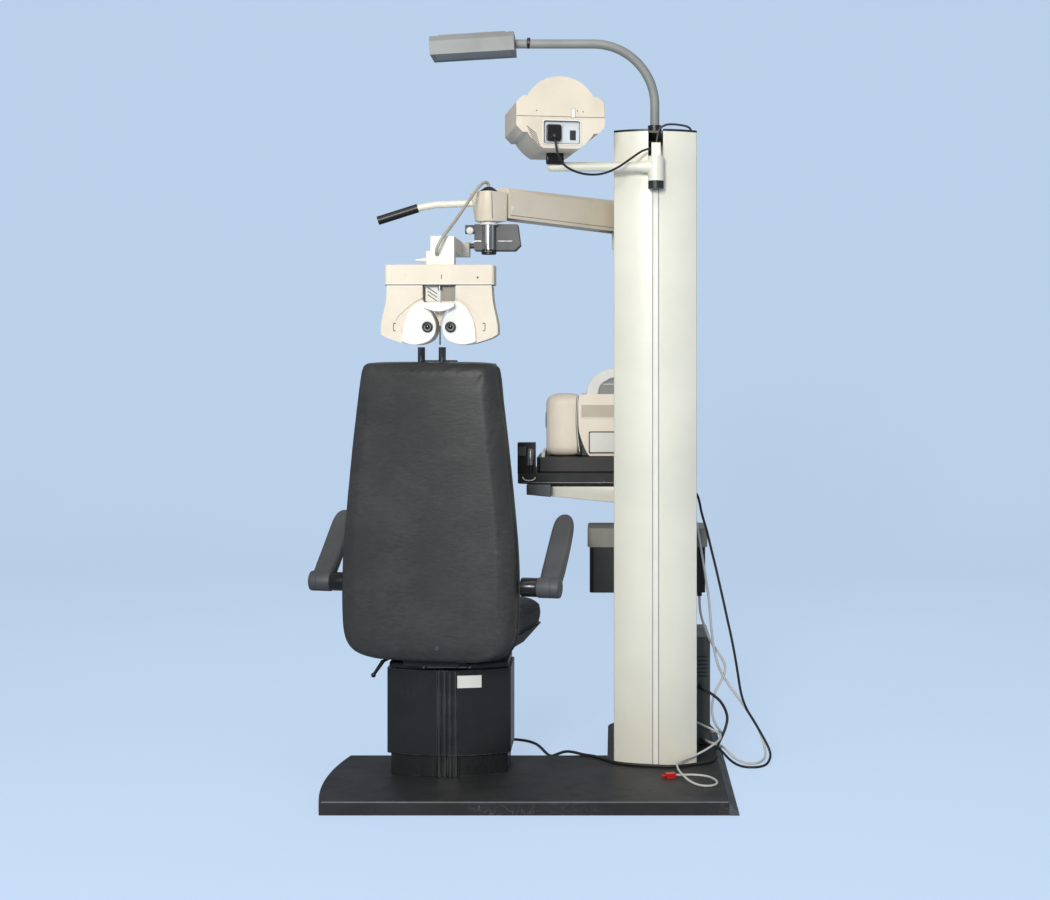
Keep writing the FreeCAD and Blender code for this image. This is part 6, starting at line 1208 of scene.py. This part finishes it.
def makeFarSides():
    a = instrument
    window = [(0.026, -0.004), (0.026, 0.003), (0.0235, 0.0052), (0.0175, 0.0052), (0.0165, 0.0035),
        (0.0165, 0.0005)]
    onInstrument("instrument_window_ring", turned(window, 48, (a["left"] + 0.001, 0.42, 0.955), (-1, 0, 0)),
        "black_plastic")
    onInstrument("instrument_window_glass", turned([(0.0166, 0.0005), (0.012, 0.0022), (0.006, 0.003),
        (0.0004, 0.0032)], 40, (a["left"] + 0.001, 0.42, 0.955), (-1, 0, 0)), "lens")
    rear = a["rear"]
    onInstrument("instrument_display_frame", slab(0.385, 0.515, 0.925, 1.012, 0.008, 5, rear - 0.003,
        rear + 0.0022), "arm_pu", bevel=0.0015)
    onInstrument("instrument_display", slab(0.392, 0.508, 0.932, 1.005, 0.004, 4, rear, rear + 0.003), "lens",
        bevel=0.0008)
    for k in range(4):
        x = 0.403 + 0.0315 * k
        onInstrument(f"instrument_key_{k}", slab(x - 0.009, x + 0.009, 0.9, 0.912, 0.003, 4, rear - 0.002,
            rear + 0.0018), "white_plastic", bevel=0.0008)
    stick = [(0.017, 0), (0.017, 0.002), (0.0145, 0.0045), (0.0125, 0.006), (0.0135, 0.0075), (0.0105, 0.0095),
        (0.0112, 0.011), (0.0085, 0.0125), (0.0045, 0.0135), (0.0042, 0.036), (0.0075, 0.0375), (0.0095, 0.042),
        (0.0095, 0.056), (0.0082, 0.0605), (0.0045, 0.063), (0.0042, 0.0645), (0.0006, 0.065)]
    onInstrument("instrument_stick", turned(stick, 36, (0.45, 0.5225, 0.8525), upward), "black_plastic")
    (x0, y0, z0), (x1, y1, z1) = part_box("transformer_box")
    # dark strips for the vent slots: painted shade
    for k in range(7):
        z = z1 - 0.05 - 0.014 * k
        onStand(f"transformer_slot_{k}", slab(x0 + 0.045, x1 - 0.045, z - 0.0025, z + 0.0025, 0.0022, 4,
            y1 - 0.001, y1 + 0.0008), "black_paint", bevel=0.0004)
    for k in range(4):
        x, z = (x0 + 0.014, x1 - 0.014)[k % 2], (z1 - 0.014, z0 + 0.014)[k // 2]
        onStand(f"transformer_screw_{k}", turned([(0.0045, -0.001), (0.0045, 0.0012), (0.0032, 0.0024),
            (0.001, 0.002)], 20, (x, y1, z), fromCamera), "bare_steel")
    handle = [(x0 + 0.065, (y0 + y1) / 2, z1 - 0.002), (x0 + 0.065, (y0 + y1) / 2, z1 + 0.022),
              (x0 + 0.075, (y0 + y1) / 2, z1 + 0.027), (x1 - 0.075, (y0 + y1) / 2, z1 + 0.027),
              (x1 - 0.065, (y0 + y1) / 2, z1 + 0.022), (x1 - 0.065, (y0 + y1) / 2, z1 - 0.002)]
    strand("transformer_handle", handle, 0.0042, "stand", "black_plastic")
    (x0, y0, z0), (x1, y1, z1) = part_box("control_box")
    for k, x in enumerate((x0 + 0.07, x1 - 0.07)):
        onStand(f"control_latch_{k}", block((x - 0.014, y1 - 0.004, z1 - 0.066),
            (x + 0.014, y1 + 0.0022, z1 - 0.038)), "bare_steel", bevel=0.0015)
    for k in range(3):
        x = x0 + 0.10 + 0.05 * k
        onStand(f"control_lamp_{k}", turned([(0.0065, -0.008), (0.0065, 0.002), (0.005, 0.003),
            (0.0045, 0.0042), (0.0025, 0.0055), (0.0004, 0.006)], 28, (x, y1 - 0.008, z0 + 0.075), fromCamera),
            "white_plastic")
    # a thin silver line along the base's top front edge: partly wear, partly painted highlight
    strand("base_edge_wear_and_highlight", [(-0.288, -0.3636, 0.0336), (0.2, -0.3636, 0.0336), (0.722, -0.3636, 0.0336)],
        0.0008, "stand", "satin_silver")
    piece("lamp_collar", turned([(0.0132, 0), (0.0152, 0.0015), (0.0152, 0.0075), (0.0134, 0.009)], 36,
        (0.197, 0.105, 2.0065), (1, 0, -0.03)), "lamp_arm", "black_plastic")


makeFarSides()
print("far sides dressed")


# floor, backdrop and lamps


def sight(tree):  # the rays that the eye sends out itself, and those off gloss
    seen = addNode(tree, "ShaderNodeLightPath").outputs
    return (mathNode(tree, "MAXIMUM", seen["Is Camera Ray"], seen["Is Transmission Ray"]),
            seen["Is Glossy Ray"])


def blend(tree, share, first, second, output):
    mixer = addNode(tree, "ShaderNodeMixShader", {0: share, 1: first.outputs[0], 2: second.outputs[0]})
    tree.links.new(mixer.outputs[0], tree.nodes[output].inputs["Surface"])


def makeStage():
    mesh = bmesh.new()
    side, depth, rise, sweep = 12, 7, 9, 2.5
    rows = [(-9, 0)] + [(depth - sweep + sweep * math.sin(a), sweep - sweep * math.cos(a))
                        for a in (math.radians(90 * i / 12) for i in range(13))] + [(depth, rise)]
    left = [mesh.verts.new((-side, y, z)) for y, z in rows]
    right = [mesh.verts.new((side, y, z)) for y, z in rows]
    for i in range(len(rows) - 1):
        mesh.faces.new((left[i], right[i], right[i + 1], left[i + 1]))
    data = bpy.data.meshes.new("floor")
    mesh.to_mesh(data)
    mesh.free()
    data.shade_smooth()
    floor = placed("floor", data)
    material = bpy.data.materials.new("pale floor")
    material.use_nodes = True
    tree = material.node_tree
    shader = tree.nodes["Principled BSDF"]
    shader.inputs["Roughness"].default_value = 0.85
    cloud = ramp(tree, noise(tree, 0.7, 2), 0.3, 0.7)
    tree.links.new(mixed(tree, cloud, tone(206, 226, 250), tone(202, 222, 247)), shader.inputs["Base Color"])
    # the ground is pale for the eye and dim in gloss, and adds no light to the object
    direct, glossy = sight(tree)
    share = mathNode(tree, "ADD", mathNode(tree, "MULTIPLY", direct, 0.66),
        mathNode(tree, "MULTIPLY", glossy, 0.9), clamp=True)
    glow = addNode(tree, "ShaderNodeEmission", {
        "Color": mixed(tree, glossy, tone(206, 229, 254), tone(112, 118, 126)), "Strength": 1})
    blend(tree, share, shader, glow, "Material Output")
    floor.data.materials.append(material)


def areaLamp(name, place, aim, size, power, colour=(1, 1, 1)):
    lamp = bpy.data.lights.new(name, "AREA")
    lamp.shape, lamp.size, lamp.size_y = "RECTANGLE", *size
    lamp.energy, lamp.color = power, colour
    stand = placed(name, lamp)
    stand.location = place
    stand.rotation_euler = (Vector(aim) - Vector(place)).to_track_quat("-Z", "Y").to_euler()


def makeLight():
    world = bpy.data.worlds.new("studio")
    bpy.context.scene.world = world
    world.use_nodes = True
    tree = world.node_tree
    soft, pale = tree.nodes["Background"], tree.nodes.new("ShaderNodeBackground")
    soft.inputs["Color"].default_value, soft.inputs["Strength"].default_value = (0.86, 0.9, 1, 1), 0.33
    pale.inputs["Color"].default_value, pale.inputs["Strength"].default_value = tone(203, 226, 252), 1
    blend(tree, sight(tree)[0], soft, pale, "World Output")
    areaLamp("front", (-0.7, -6.0, 2.7), (0.3, 0, 1.0), (1.3, 1.3), 262, (1, 0.985, 0.95))
    areaLamp("overhead", (0.2, -1.2, 3.6), (0.3, 0.1, 0.9), (2.4, 1.8), 22)
    areaLamp("left", (-2.6, -3.2, 2.3), (0.3, 0, 1.0), (1.6, 2.2), 14, (1, 0.98, 0.95))
    areaLamp("right edge", (2.9, -0.9, 1.9), (0.4, 0, 0.9), (0.9, 2.4), 3, (0.95, 0.97, 1))
    areaLamp("behind", (0.4, 3.0, 3.0), (0.3, 0.1, 0.9), (3, 1.5), 14)


makeStage()
makeLight()
scene = bpy.context.scene
scene.view_settings.view_transform = "Standard"
